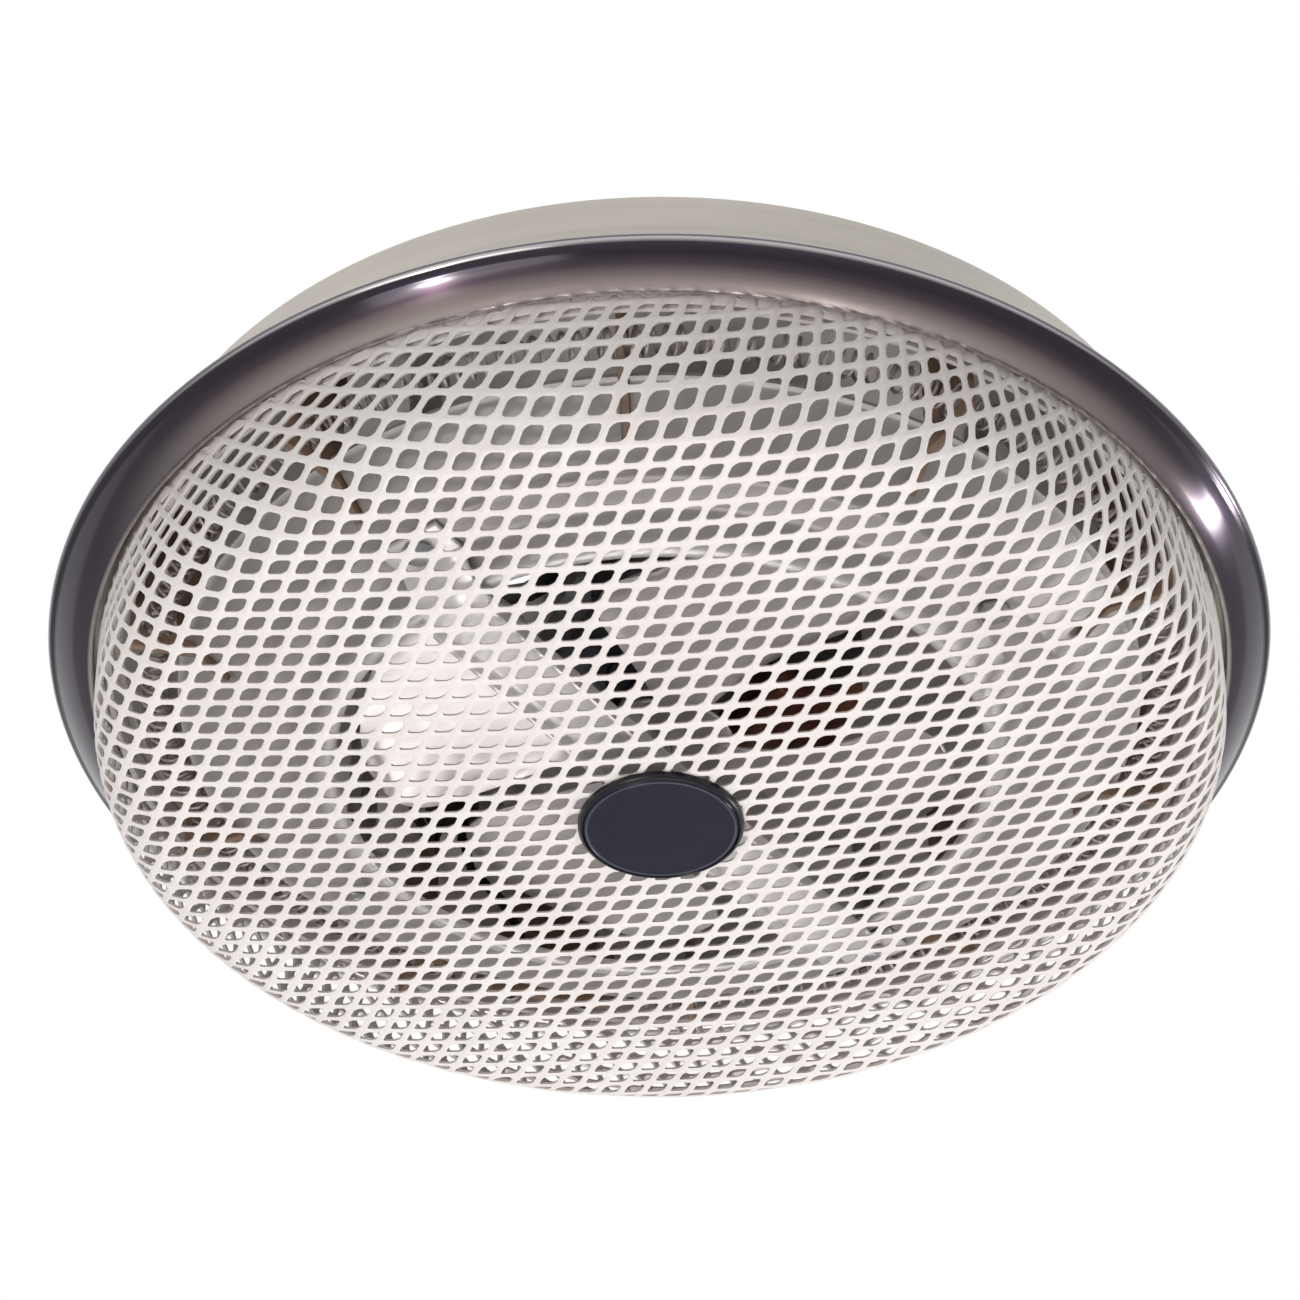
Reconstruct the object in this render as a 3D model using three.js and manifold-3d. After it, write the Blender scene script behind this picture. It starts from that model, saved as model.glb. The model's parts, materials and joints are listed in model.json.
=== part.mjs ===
// A round fan heater that hangs under a ceiling on an outlet box.
// Millimetres, +Z up. The origin is the centre of the face against the ceiling, so all of it is below Z = 0.
// The side that faces a person looking up at it from the front is -Y.
import * as THREE from "three";
import { mergeVertices } from "three/addons/utils/BufferGeometryUtils.js";
import Module from "manifold-3d";

const wasm = await Module();
wasm.setup();

// ---------------------------------------------------------------- driving dimensions

const seat = 0.3; // gap between pieces that rest on one another
const slide = 0.4; // gap round a piece that passes through a hole
const sheet = 0.8; // steel sheet of the pan and the trim
const roundSteps = 42; // facets of the large rings

// Ceiling pan
const panDepth = 29;
const panDraft = 1.2;
const panCorner = 4;
const panFlange = 11;
const boxScrewSpacing = 88.9; // octagonal ceiling box
const boxScrewHole = 5.2;
const boxScrewHead = 9.6;
const boxScrewAzimuth = 100;
const wireHole = 22.2;
const wireHoleRadius = 37;
const wireHoleAzimuth = -165;

// Trim ring
const trimRadius = 141.5; // sets the size of the whole heater
const trimWidth = 11.1; // from its inner lip to its edge
const trimOverhang = 17.6; // from the pan's side to its edge
const trimHidden = 6.2; // from its inner lip to its edge under the flange
const trimLipDrop = 7.9; // how far the inner lip hangs under the pan
const trimRimDrop = 1.5; // how far the outer rim's middle hangs under the pan
const trimBead = 1.3;
const trimBulge = 0.9;
const trimScrews = 3;

// Orifice plate
const plateSheet = 0.9;
const orificeDrop = 58.6;
const orificeLip = 3.4;
const orificeStep = 10.2; // from the orifice to the land
const landWidth = 10;
const plateSlope = 16.8; // width of the slope from the land to the edge
const plateInset = 13.1; // from the pan's side to the edge
const landDrop = 53;
const plateEdgeDrop = 40.3;
const plateHem = 1.6;
const postCount = 4;
const postAzimuth = 55;
const postRadius = 4;

// Heating element and its supports
const supportCount = 10;
const supportAzimuth = -93.6;
const supportBoard = 1.6;
const supportReach = 16.5; // inwards from the coil
const supportHeel = 6.5; // outwards from the coil
const supportTab = 6;
const supportTabInset = 3.5; // of its tab's middle, from the coil
const coilInset = 7.4; // from the pan's side to the coil's middle
const coilDrop = 36;
const coilRadius = 3.1;
const wireRadius = 0.45;
const coilCurls = 38;
const curlSteps = 8;
const wireSides = 5;
const terminalAzimuth = 104.4;
const terminalSpacing = 20;
const terminalBolt = 2;

// Motor
const motorAzimuth = 25;
const stackDrop = 13;
const stackHeight = 16;
const stackWidth = 50;
const rotorRadius = 12.3;
const airGap = 0.4;
const legOffset = 35; // from the shaft to the leg that carries the winding
const legWidth = 11;
const windingWall = 6;
const windingLength = 27;
const shaftRadius = 2.5;
const runningGap = 0.06;
const bearingWall = 2;
const bearingLength = 6;
const bracketSheet = 1.5;
const bracketWidth = 14;
const bracketHump = 3.4;
const motorScrewOffset = 20;
const spacerWall = 2;

// Fan
const tipGap = 4.3; // from the blades to the orifice
const bladeCount = 4;
const bladeAzimuth = 19;
const bladeSheet = 1;
const bladeDrop = 49.2; // middle of the blades
const bladeRise = 6.4; // from the middle to the raised edge at the tip
const bladeTipSpan = 66; // degrees
const bladeRootSpan = 42;
const fanDisc = 17;
const hubRadius = 7;
const hubHeight = 9;

// Strap, stud and knob
const strapWidth = 16;
const strapSheet = 1.2;
const strapDrop = 60;
const strapFlange = 3;
const strapAzimuth = postAzimuth;
const studRadius = 2.4;
const studHead = 5;
const studNut = 4.6;
const studNutHeight = 3.2;
const knobRadius = 18.8;
const knobHeight = 4.2;
const knobBezel = 1.6;
const knobHub = 5.4;
const knobHubHeight = 5;
const threadGap = 0.15;

// Grille
const grilleDrop = 70.8; // its middle
const shoulderWidth = 14;
const grilleFaceDrop = 65.5;
const grilleGap = 2.6; // from the trim's lip to the grille
const shoulderDrop = 50;
const grilleDraft = 0.4;
const netSheet = 1;
const netPitch = 6.2; // of the real expanded metal, along a row
const netLean = -2.3; // shift from one row to the next
const netRow = 6.6;
const netTurn = -4.8; // degrees
const netMerge = 3.35; // this model's gaps are this much wider than the real ones
const netStrand = 2.3;
const netSolid = 15; // radius behind the knob that has no gaps
const hemWidth = 2.2;
const hemHeight = 4;
const hemLap = 0.6; // how far the hem stands out of the net

// Wiring
const leadRadius = 1.3;
const leadSides = 6;
const cutoutRadius = 6.8;
const cutoutHeight = 8;
const cutoutAzimuth = 125;
const cutoutOut = 3; // from the posts' ring
const cutoutTab = 3.5; // from the cut-out's middle to its terminals
const cutoutTabLength = 5;
const cutoutEar = 12;
const wireNutRadius = 6.3;
const wireNutBore = 3.6;
const wireNutLength = 18;
const wireNutIn = 23; // from the posts' ring
const wireNutDrop = 9;
const lineNutAzimuth = 158;
const neutralNutAzimuth = 200;
const leadRunIn = 10; // the long leads' run, from the wire nuts or the posts
const leadRunDrop = 8;

// ---------------------------------------------------------------- derived places

const degrees = Math.PI / 180;
const trimLipRadius = trimRadius - trimWidth;
const panRadius = trimRadius - trimOverhang;
const grilleRadius = trimLipRadius - grilleGap;
const grilleFaceRadius = grilleRadius - shoulderWidth;
const coilRing = panRadius - coilInset;
const supportInner = coilRing - supportReach;
const supportOuter = coilRing + supportHeel;
const plateRadius = panRadius - plateInset;
const landOuter = plateRadius - plateSlope;
const landInner = landOuter - landWidth;
const orificeRadius = landInner - orificeStep;
const fanRadius = orificeRadius - tipGap;
const postRing = (landInner + landOuter) / 2;
const cutoutRing = postRing + cutoutOut;
const wireNutRing = postRing - wireNutIn;
const panInside = -sheet; // underside of the pan's roof
const flangeTop = -panDepth + sheet;
const underFlange = -panDepth - seat;
const landRoom = -landDrop; // the land's face towards the room
const landBack = landRoom + plateSheet;
const stackTop = -stackDrop;
const stackBottom = stackTop - stackHeight;
const knobTop = -grilleDrop - seat;
const stubEnd = -0.15; // of what passes through the pan's roof, just short of the ceiling

// ---------------------------------------------------------------- helpers

function polar(radius, azimuth, z = 0) {
  const angle = azimuth * degrees;
  return new THREE.Vector3(radius * Math.cos(angle), radius * Math.sin(angle), z);
}

// Azimuths of pieces spread evenly round Z, from a first one.
function spreadAzimuths(count, first) {
  return Array.from({ length: count }, (_, i) => first + (360 / count) * i);
}

function toSolid(geometry) {
  const bare = geometry.clone();
  bare.deleteAttribute("normal");
  bare.deleteAttribute("uv");
  const merged = mergeVertices(bare, 1e-4);
  const triVerts = new Uint32Array(merged.index.array);
  const vertProperties = new Float32Array(merged.attributes.position.array);
  const made = new wasm.Manifold(new wasm.Mesh({ numProp: 3, vertProperties, triVerts }));
  if (made.volume() > 0) return made;
  for (let i = 0; i < triVerts.length; i += 3) {
    const first = triVerts[i + 1];
    triVerts[i + 1] = triVerts[i + 2];
    triVerts[i + 2] = first;
  }
  return new wasm.Manifold(new wasm.Mesh({ numProp: 3, vertProperties, triVerts }));
}

function toGeometry(solid) {
  const mesh = solid.getMesh();
  const stride = mesh.numProp;
  const positions = new Float32Array(mesh.numVert * 3);
  for (let i = 0; i < mesh.numVert; i++) {
    positions.set(mesh.vertProperties.subarray(i * stride, i * stride + 3), i * 3);
  }
  const geometry = new THREE.BufferGeometry();
  geometry.setAttribute("position", new THREE.BufferAttribute(positions, 3));
  geometry.setIndex(new THREE.BufferAttribute(new Uint32Array(mesh.triVerts), 1));
  geometry.computeVertexNormals();
  return geometry;
}

// A profile of [radius, z] points turned round Z.
function turned(profile, steps) {
  const points = profile.map(([radius, z]) => new THREE.Vector2(radius, z));
  const geometry = new THREE.LatheGeometry(points, steps);
  geometry.rotateX(Math.PI / 2);
  return toSolid(geometry);
}

function turnedRing(profile, steps) {
  return turned([...profile, profile[0]], steps);
}

function washer(inner, outer, low, high, steps) {
  return turnedRing([[inner, low], [outer, low], [outer, high], [inner, high]], steps);
}

function rod(radius, low, high, steps = 12) {
  return turned([[0, low], [radius, low], [radius, high], [0, high]], steps);
}

function box(sizeX, sizeY, low, high) {
  const geometry = new THREE.BoxGeometry(sizeX, sizeY, high - low);
  geometry.translate(0, 0, (low + high) / 2);
  return toSolid(geometry);
}

// A flat outline of [x, y] points, with holes, raised from low to high.
function plate(outline, low, high, holes = [], arcSteps = 8) {
  const shape = new THREE.Shape(outline.map(([x, y]) => new THREE.Vector2(x, y)));
  for (const hole of holes) {
    const path = new THREE.Path();
    path.absarc(hole.x, hole.y, hole.radius, 0, 2 * Math.PI, true);
    shape.holes.push(path);
  }
  const geometry = new THREE.ExtrudeGeometry(shape, {
    depth: high - low,
    bevelEnabled: false,
    curveSegments: arcSteps,
  });
  geometry.translate(0, 0, low);
  return toSolid(geometry);
}

// An outline of [along, z] points, given a width across, standing in the XZ plane.
function standing(outline, width, holes = [], arcSteps = 8) {
  const solid = plate(outline, -width / 2, width / 2, holes, arcSteps);
  return solid.rotate([90, 0, 0]);
}

// The closed outline of a bent sheet: one face runs through the points, the other lies on their left.
function bentSheet(points, thickness) {
  const normals = points.slice(1).map((point, i) => {
    const along = new THREE.Vector2(point[0] - points[i][0], point[1] - points[i][1]).normalize();
    return new THREE.Vector2(-along.y, along.x);
  });
  const offset = points.map(([x, y], i) => {
    const before = normals[Math.max(i - 1, 0)];
    const after = normals[Math.min(i, normals.length - 1)];
    const middle = before.clone().add(after).normalize();
    const reach = thickness / middle.dot(after);
    return [x + middle.x * reach, y + middle.y * reach];
  });
  return [...points, ...offset.reverse()];
}

function arcPoints(centreX, centreY, radiusX, radiusY, from, to, steps) {
  return Array.from({ length: steps + 1 }, (_, i) => {
    const angle = (from + ((to - from) * i) / steps) * degrees;
    return [centreX + radiusX * Math.cos(angle), centreY + radiusY * Math.sin(angle)];
  });
}

function placed(solid, position, azimuth = 0) {
  return solid.rotate([0, 0, azimuth]).translate([position.x, position.y, position.z]);
}

// A pan-head screw: its head's seat is at Z = 0 and its shank points down.
function screw(shankRadius, shankLength, headRadius, headHeight) {
  return turned(
    [
      [0, -shankLength],
      [shankRadius, -shankLength],
      [shankRadius, 0],
      [headRadius, 0],
      [headRadius, headHeight * 0.55],
      [headRadius * 0.6, headHeight],
      [0, headHeight],
    ],
    8,
  );
}

const finishes = {
  satinSteel: { color: 0xbdb5a9, roughness: 0.42, metalness: 0.9 },
  darkChrome: { color: 0x8a8088, roughness: 0.16, metalness: 1 },
  galvanised: { color: 0xb9bbba, roughness: 0.45, metalness: 0.85 },
  brightAluminium: { color: 0xe2dcdc, roughness: 0.3, metalness: 0.9 },
  plateFinish: { color: 0xa9a59f, roughness: 0.35, metalness: 0.9 },
  paintedNet: { color: 0xf7f2ea, roughness: 0.4, metalness: 0.1 },
  mica: { color: 0x8c6a4b, roughness: 0.75, metalness: 0 },
  elementWire: { color: 0x6f6a66, roughness: 0.5, metalness: 0.8 },
  laminations: { color: 0x5b5d60, roughness: 0.6, metalness: 0.6 },
  winding: { color: 0xb5562f, roughness: 0.55, metalness: 0.1 },
  castBracket: { color: 0xc3c4c4, roughness: 0.5, metalness: 0.8 },
  bronze: { color: 0x9a7440, roughness: 0.5, metalness: 0.9 },
  steel: { color: 0xa7a9ab, roughness: 0.35, metalness: 0.95 },
  brass: { color: 0xc0a050, roughness: 0.35, metalness: 0.95 },
  darkPlastic: { color: 0x24252d, roughness: 0.22, metalness: 0 },
  medallionFace: { color: 0x32343e, roughness: 0.12, metalness: 0 },
  phenolic: { color: 0x2b211c, roughness: 0.5, metalness: 0 },
  whiteLead: { color: 0xe6e2d8, roughness: 0.6, metalness: 0 },
  blackLead: { color: 0x1d1d1f, roughness: 0.6, metalness: 0 },
  bushing: { color: 0x202022, roughness: 0.6, metalness: 0 },
};

function node(name, solid, finish) {
  const geometry = solid.isBufferGeometry ? solid : toGeometry(solid);
  const mesh = new THREE.Mesh(geometry, new THREE.MeshStandardMaterial(finishes[finish]));
  mesh.name = name;
  return mesh;
}

// ---------------------------------------------------------------- ceiling pan and trim ring

const postAzimuths = spreadAzimuths(postCount, postAzimuth);
const supportAzimuths = spreadAzimuths(supportCount, supportAzimuth);
const trimScrewRing = trimLipRadius + 3.4;
const trimScrewRadius = 1.5;
const trimScrewAzimuths = spreadAzimuths(trimScrews, 90);
const postStubRadius = 2.5;
const tabRing = coilRing - supportTabInset;
const motorScrewRadius = 2;

function panRoofHole(radius, position, steps = 12) {
  return rod(radius, -2 * sheet, sheet, steps).translate([position.x, position.y, 0]);
}

function tabSlot(length, board) {
  return box(length + 2 * slide, board + 2 * slide, -2 * sheet, sheet);
}

function makeCeilingPan() {
  const cornerTop = panRadius - panCorner;
  const lowRadius = panRadius + panDraft;
  const outer = [
    [0, 0],
    ...arcPoints(cornerTop, -panCorner, panCorner, panCorner, 90, 0, 2),
    [lowRadius, flangeTop],
    [lowRadius + panFlange, flangeTop],
    [lowRadius + panFlange, flangeTop - sheet],
  ];
  const inner = [
    [lowRadius - sheet, flangeTop - sheet],
    ...arcPoints(cornerTop, -panCorner, panCorner - sheet, panCorner - sheet, 0, 90, 2),
    [0, panInside],
  ];
  let pan = turned([...outer, ...inner], roundSteps);
  const cuts = [panRoofHole(wireHole / 2, polar(wireHoleRadius, wireHoleAzimuth), 14)];
  for (const side of [0, 180]) {
    const centre = polar(boxScrewSpacing / 2, boxScrewAzimuth + side);
    const slotLength = boxScrewHead / 2 + boxScrewHole;
    const slot = box(boxScrewHole, slotLength, -2 * sheet, sheet).translate([0, slotLength / 2, 0]);
    const entry = rod(boxScrewHead / 2, -2 * sheet, sheet, 16).translate([0, slotLength, 0]);
    const end = rod(boxScrewHole / 2, -2 * sheet, sheet, 12);
    cuts.push(placed(slot.add(entry).add(end), centre, boxScrewAzimuth));
  }
  for (const azimuth of postAzimuths) {
    cuts.push(panRoofHole(postStubRadius + slide, polar(postRing, azimuth), 8));
  }
  for (const side of [-1, 1]) {
    const hole = panRoofHole(motorScrewRadius + slide, new THREE.Vector3(0, side * motorScrewOffset, 0));
    cuts.push(hole.rotate([0, 0, motorAzimuth]));
  }
  for (const azimuth of supportAzimuths) {
    cuts.push(placed(tabSlot(supportTab, supportBoard), polar(tabRing, azimuth), azimuth));
  }
  const boardPlace = polar(terminalBoardRing, terminalAzimuth);
  cuts.push(placed(tabSlot(terminalTab, supportBoard), boardPlace, terminalAzimuth + 90));
  for (const azimuth of trimScrewAzimuths) {
    const hole = rod(trimScrewRadius + slide, -panDepth - 1, flangeTop + 1, 10);
    cuts.push(placed(hole, polar(trimScrewRing, azimuth)));
  }
  for (const cut of cuts) {
    pan = pan.subtract(cut);
  }
  return pan;
}

function makeTrimRing() {
  const lipZ = -panDepth - trimLipDrop;
  const rimZ = -panDepth - trimRimDrop;
  const legRadius = trimLipRadius + sheet;
  const beadCentre = trimRadius - trimBead;
  const hidden = trimLipRadius + trimHidden;
  const midRadius = (trimLipRadius + beadCentre) / 2;
  const midZ = (lipZ + rimZ) / 2 - trimBulge;
  const roomFace = [
    [hidden, underFlange],
    [trimLipRadius, underFlange],
    [trimLipRadius, lipZ + 0.7],
    [trimLipRadius + 0.7, lipZ],
    [midRadius, midZ],
    [beadCentre - 0.2, rimZ - trimBead],
    [trimRadius - 0.35, rimZ - 0.65 * trimBead],
    [trimRadius, rimZ],
    [beadCentre, rimZ + trimBead],
    [beadCentre - trimBead, rimZ + 0.3],
  ];
  const backFace = [
    [beadCentre - 1.5, rimZ - trimBead + sheet + 0.4],
    [midRadius, midZ + sheet],
    [legRadius + 0.4, lipZ + sheet],
    [legRadius, lipZ + 1.2],
    [legRadius, underFlange - sheet],
    [hidden, underFlange - sheet],
  ];
  let ring = turnedRing([...roomFace, ...backFace], roundSteps);
  for (const azimuth of trimScrewAzimuths) {
    const hole = rod(trimScrewRadius + slide, underFlange - 2 * sheet, underFlange + sheet, 10);
    ring = ring.subtract(placed(hole, polar(trimScrewRing, azimuth)));
  }
  return ring;
}

// ---------------------------------------------------------------- orifice plate, posts and strap

function makeOrificePlate() {
  const roomFace = [
    [orificeRadius, -orificeDrop + 2.2],
    [orificeRadius + 0.6, -orificeDrop],
    [orificeRadius + orificeLip, -orificeDrop],
    [landInner, landRoom],
    [landOuter, landRoom],
    [plateRadius - plateHem, -plateEdgeDrop],
    [plateRadius, -plateEdgeDrop],
  ];
  let solid = turnedRing(bentSheet(roomFace, plateSheet), roundSteps);
  for (const azimuth of postAzimuths) {
    const hole = rod(screwShank + slide, landRoom - 1, landBack + 1, 8);
    solid = solid.subtract(placed(hole, polar(postRing, azimuth)));
  }
  for (const azimuth of supportAzimuths) {
    const length = plateRadius - supportInner + 4;
    const slot = box(length, supportBoard + 2 * slide, -orificeDrop, -plateEdgeDrop + 4);
    solid = solid.subtract(placed(slot, polar(supportInner - slide + length / 2, azimuth), azimuth));
  }
  const relief = box(6, terminalBoardWidth + 4, -orificeDrop, 0);
  return solid.subtract(placed(relief, polar(terminalBoardRing, terminalAzimuth), terminalAzimuth));
}

const screwShank = 1.8;
const screwHeadRadius = 3.6;
const screwHeadHeight = 2.2;
const screwReach = 9;

function makePost() {
  const top = panInside - seat;
  const foot = landBack + seat;
  const body = turned(
    [
      [0, foot],
      [postRadius, foot],
      [postRadius, top],
      [postStubRadius, top],
      [postStubRadius, stubEnd],
      [0, stubEnd],
    ],
    6,
  );
  return body.subtract(rod(screwShank + slide, foot - 1, foot + screwReach, 8));
}

function makeStrap() {
  const footEnd = landOuter - 0.5;
  const footZ = landRoom - seat;
  const bendTop = landInner + 1;
  const bendLow = orificeRadius + 5.7;
  const half = [
    [bendLow, -strapDrop],
    [bendTop, footZ],
    [footEnd, footZ],
  ];
  const mirrored = half.map(([x, z]) => [-x, z]).reverse();
  // The sheet is built on the upper side of the points, and then lowered by its thickness.
  const outline = bentSheet([...mirrored, ...half], strapSheet).map(([x, z]) => [x, z - strapSheet]);
  let strap = standing(outline, strapWidth);
  const flangeLength = 2 * (bendLow - 6);
  const flangeFoot = -strapDrop - strapSheet - strapFlange;
  for (const side of [-1, 1]) {
    const flange = box(flangeLength, strapSheet, flangeFoot, -strapDrop - strapSheet / 2);
    strap = strap.add(flange.translate([0, (side * (strapWidth - strapSheet)) / 2, 0]));
    const hole = rod(screwShank + slide, -strapDrop - 4, landRoom, 10);
    strap = strap.subtract(hole.translate([side * postRing, 0, 0]));
  }
  return strap.subtract(rod(studRadius + slide, -strapDrop - 4, -strapDrop + 1, 12));
}

// ---------------------------------------------------------------- heating element

const supportFloor = -coilDrop - coilRadius - 4.6;
const terminalBoardRing = plateRadius + 1.7;
const terminalBoardWidth = terminalSpacing + 12;
const terminalTab = 14;
const boltRing = coilRing + terminalBolt + 1;

function makeSupport() {
  const top = panInside - seat;
  const throat = supportInner + 7;
  const slope = (landDrop - plateEdgeDrop) / (plateRadius - plateHem - landOuter);
  const lowerZ = (radius) => -plateEdgeDrop - (plateRadius - plateHem - radius) * slope;
  const outline = [
    [supportInner, lowerZ(supportInner) - 2.6],
    [supportInner + 7.5, supportFloor],
    [supportOuter, supportFloor],
    [supportOuter, flangeTop],
    [panRadius - sheet - 1.5, -panCorner - 2],
    [tabRing + supportTab / 2 + 1.5, top],
    [tabRing + supportTab / 2, top],
    [tabRing + supportTab / 2, stubEnd],
    [tabRing - supportTab / 2, stubEnd],
    [tabRing - supportTab / 2, top],
    [throat, top],
    [throat, lowerZ(throat) + 5],
    [supportInner, lowerZ(supportInner) + 4],
  ];
  const hole = { x: coilRing, y: -coilDrop, radius: coilRadius + wireRadius + 0.9 };
  return standing(outline, supportBoard, [hole], 5);
}

// The wire: one unbroken tube wound round a ring, whose two ends run straight to the terminals.
function coilPath() {
  const endAngle = Math.atan2(terminalSpacing / 2 + terminalBolt + seat, coilRing);
  const leadAngle = 1.5 / coilRing;
  const from = terminalAzimuth * degrees + endAngle + 2 * leadAngle;
  const sweep = 2 * Math.PI - 2 * endAngle - 4 * leadAngle;
  const at = (angle, out, up) => {
    const radius = coilRing + out;
    return new THREE.Vector3(radius * Math.cos(angle), radius * Math.sin(angle), -coilDrop + up);
  };
  const steps = coilCurls * curlSteps;
  const points = [at(from - 2 * leadAngle, 0, 0), at(from - leadAngle, 0, 0)];
  for (let i = 0; i <= steps; i++) {
    const turn = (2 * Math.PI * i) / curlSteps;
    const grown = Math.min(1, i / curlSteps, (steps - i) / curlSteps) * coilRadius;
    points.push(at(from + (sweep * i) / steps, grown * Math.cos(turn), grown * Math.sin(turn)));
  }
  points.push(at(from + sweep + leadAngle, 0, 0), at(from + sweep + 2 * leadAngle, 0, 0));
  return points;
}

// A tube through points, with flat ends square to them. Its sides are carried along without twist.
function wireTube(points, radius, sides) {
  const positions = [];
  const indices = [];
  let across = new THREE.Vector3(0, 0, 1);
  points.forEach((point, i) => {
    const before = points[Math.max(i - 1, 0)];
    const after = points[Math.min(i + 1, points.length - 1)];
    const along = after.clone().sub(before).normalize();
    across = across.clone().addScaledVector(along, -across.dot(along)).normalize();
    const other = along.clone().cross(across);
    for (let side = 0; side < sides; side++) {
      const angle = (2 * Math.PI * side) / sides;
      const corner = point.clone();
      corner.addScaledVector(across, radius * Math.cos(angle));
      corner.addScaledVector(other, radius * Math.sin(angle));
      positions.push(corner.x, corner.y, corner.z);
    }
    if (i === 0) return;
    for (let side = 0; side < sides; side++) {
      const next = (side + 1) % sides;
      const low = (i - 1) * sides;
      const high = i * sides;
      indices.push(low + side, low + next, high + side, low + next, high + next, high + side);
    }
  });
  const last = (points.length - 1) * sides;
  for (let side = 1; side < sides - 1; side++) {
    indices.push(0, side + 1, side);
    indices.push(last, last + side, last + side + 1);
  }
  const geometry = new THREE.BufferGeometry();
  geometry.setAttribute("position", new THREE.Float32BufferAttribute(positions, 3));
  geometry.setIndex(indices);
  geometry.computeVertexNormals();
  return geometry;
}

// The least distance between stretches of a wire over half a curl apart, less its thickness.
function leastSelfGap(points, radius) {
  const apart = curlSteps / 2 + 1;
  let least = Infinity;
  for (let i = 0; i < points.length; i++) {
    for (let j = i + apart; j < points.length; j++) {
      least = Math.min(least, points[i].distanceTo(points[j]));
    }
  }
  return least - 2 * radius;
}

function makeTerminalBoard() {
  const top = panInside - seat;
  const half = terminalBoardWidth / 2;
  const floor = supportFloor + 1;
  const outline = [
    [-half, floor],
    [half, floor],
    [half, floor + 16],
    [terminalTab / 2 + 3, top - 8],
    [terminalTab / 2 + 3, top],
    [terminalTab / 2, top],
    [terminalTab / 2, stubEnd],
    [-terminalTab / 2, stubEnd],
    [-terminalTab / 2, top],
    [-terminalTab / 2 - 3, top],
    [-terminalTab / 2 - 3, top - 8],
    [-half, floor + 16],
  ];
  const holes = [-1, 1].map((side) => ({
    x: (side * terminalSpacing) / 2,
    y: -coilDrop,
    radius: terminalBolt + slide,
  }));
  return standing(outline, supportBoard, holes, 5);
}

function makeTerminalBolt() {
  const length = boltRing - terminalBoardRing + 6;
  return turned(
    [
      [0, -1.6],
      [3.4, -1.6],
      [3.4, 0],
      [terminalBolt, 0],
      [terminalBolt, length],
      [0, length],
    ],
    10,
  );
}

// ---------------------------------------------------------------- motor

function makeStack() {
  const half = stackWidth / 2;
  const legOuter = legOffset + legWidth / 2;
  const legInner = legOffset - legWidth / 2;
  const arm = 8.5;
  const outline = [
    [-19, -half],
    [legOuter, -half],
    [legOuter, half],
    [-19, half],
    [-half, 17],
    [-half, -17],
  ];
  const stack = plate(outline, stackBottom, stackTop);
  const bore = rod(rotorRadius + airGap, stackBottom - 1, stackTop + 1, 24);
  const window = box(legInner - 18, stackWidth - 2 * arm, stackBottom - 1, stackTop + 1);
  let solid = stack.subtract(bore).subtract(window.translate([(legInner + 18) / 2, 0, 0]));
  for (const side of [-1, 1]) {
    const hole = rod(motorScrewRadius + slide, stackBottom - 1, stackTop + 1, 8);
    solid = solid.subtract(hole.translate([0, side * motorScrewOffset, 0]));
  }
  return solid;
}

function makeWinding() {
  const outerX = legWidth + 2 * windingWall;
  const outerZ = stackHeight + 2 * windingWall;
  const corner = 4;
  const x = outerX / 2;
  const z = outerZ / 2;
  const outline = [
    ...arcPoints(x - corner, z - corner, corner, corner, 0, 90, 3),
    ...arcPoints(-x + corner, z - corner, corner, corner, 90, 180, 3),
    ...arcPoints(-x + corner, -z + corner, corner, corner, 180, 270, 3),
    ...arcPoints(x - corner, -z + corner, corner, corner, 270, 360, 3),
  ];
  const roll = standing(outline, windingLength);
  const core = box(legWidth + 2 * seat, windingLength + 2, -stackHeight / 2 - seat, stackHeight / 2 + seat);
  return roll.subtract(core).translate([legOffset, 0, (stackTop + stackBottom) / 2]);
}

// A bracket strip across the stack, with a raised middle that holds a bearing. It is made for the top face.
function makeBracket() {
  const foot = stackWidth / 2;
  const bend = motorScrewOffset - motorScrewRadius - spacerWall - 2;
  const outline = bentSheet(
    [
      [foot, seat],
      [bend, seat],
      [bend - 4, seat + bracketHump],
      [4 - bend, seat + bracketHump],
      [-bend, seat],
      [-foot, seat],
    ].reverse(),
    bracketSheet,
  );
  const boss = rod(shaftRadius + bearingWall + slide + 1.6, seat + bracketHump + 0.5, bossHeight, 12);
  let solid = standing(outline, bracketWidth).rotate([0, 0, 90]).add(boss);
  solid = solid.subtract(rod(shaftRadius + bearingWall + slide, 0, bossHeight + 1, 12));
  for (const side of [-1, 1]) {
    const hole = rod(motorScrewRadius + slide, -1, seat + bracketSheet + 1, 8);
    solid = solid.subtract(hole.translate([0, side * motorScrewOffset, 0]));
  }
  return solid;
}

const bossHeight = seat + bracketHump + bearingLength;

function makeBearing() {
  const steps = 16;
  const inner = (shaftRadius + runningGap) / Math.cos(Math.PI / steps);
  const outer = shaftRadius + bearingWall;
  const low = bossHeight - bearingLength;
  return washer(inner, outer, low, bossHeight, steps);
}

const rotorEndRing = 1.2;
const rotorChamfer = 1;
const shaftTop = stackTop + bossHeight - 0.6;
const shaftFoot = -bladeDrop - 5.6;

function makeRotor() {
  const low = stackBottom - rotorEndRing;
  const high = stackTop + rotorEndRing;
  const bore = shaftRadius + seat;
  const shoulder = rotorRadius - rotorChamfer;
  return turnedRing(
    [
      [bore, low],
      [shoulder, low],
      [rotorRadius, low + rotorChamfer],
      [rotorRadius, high - rotorChamfer],
      [shoulder, high],
      [bore, high],
    ],
    18,
  );
}

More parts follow.
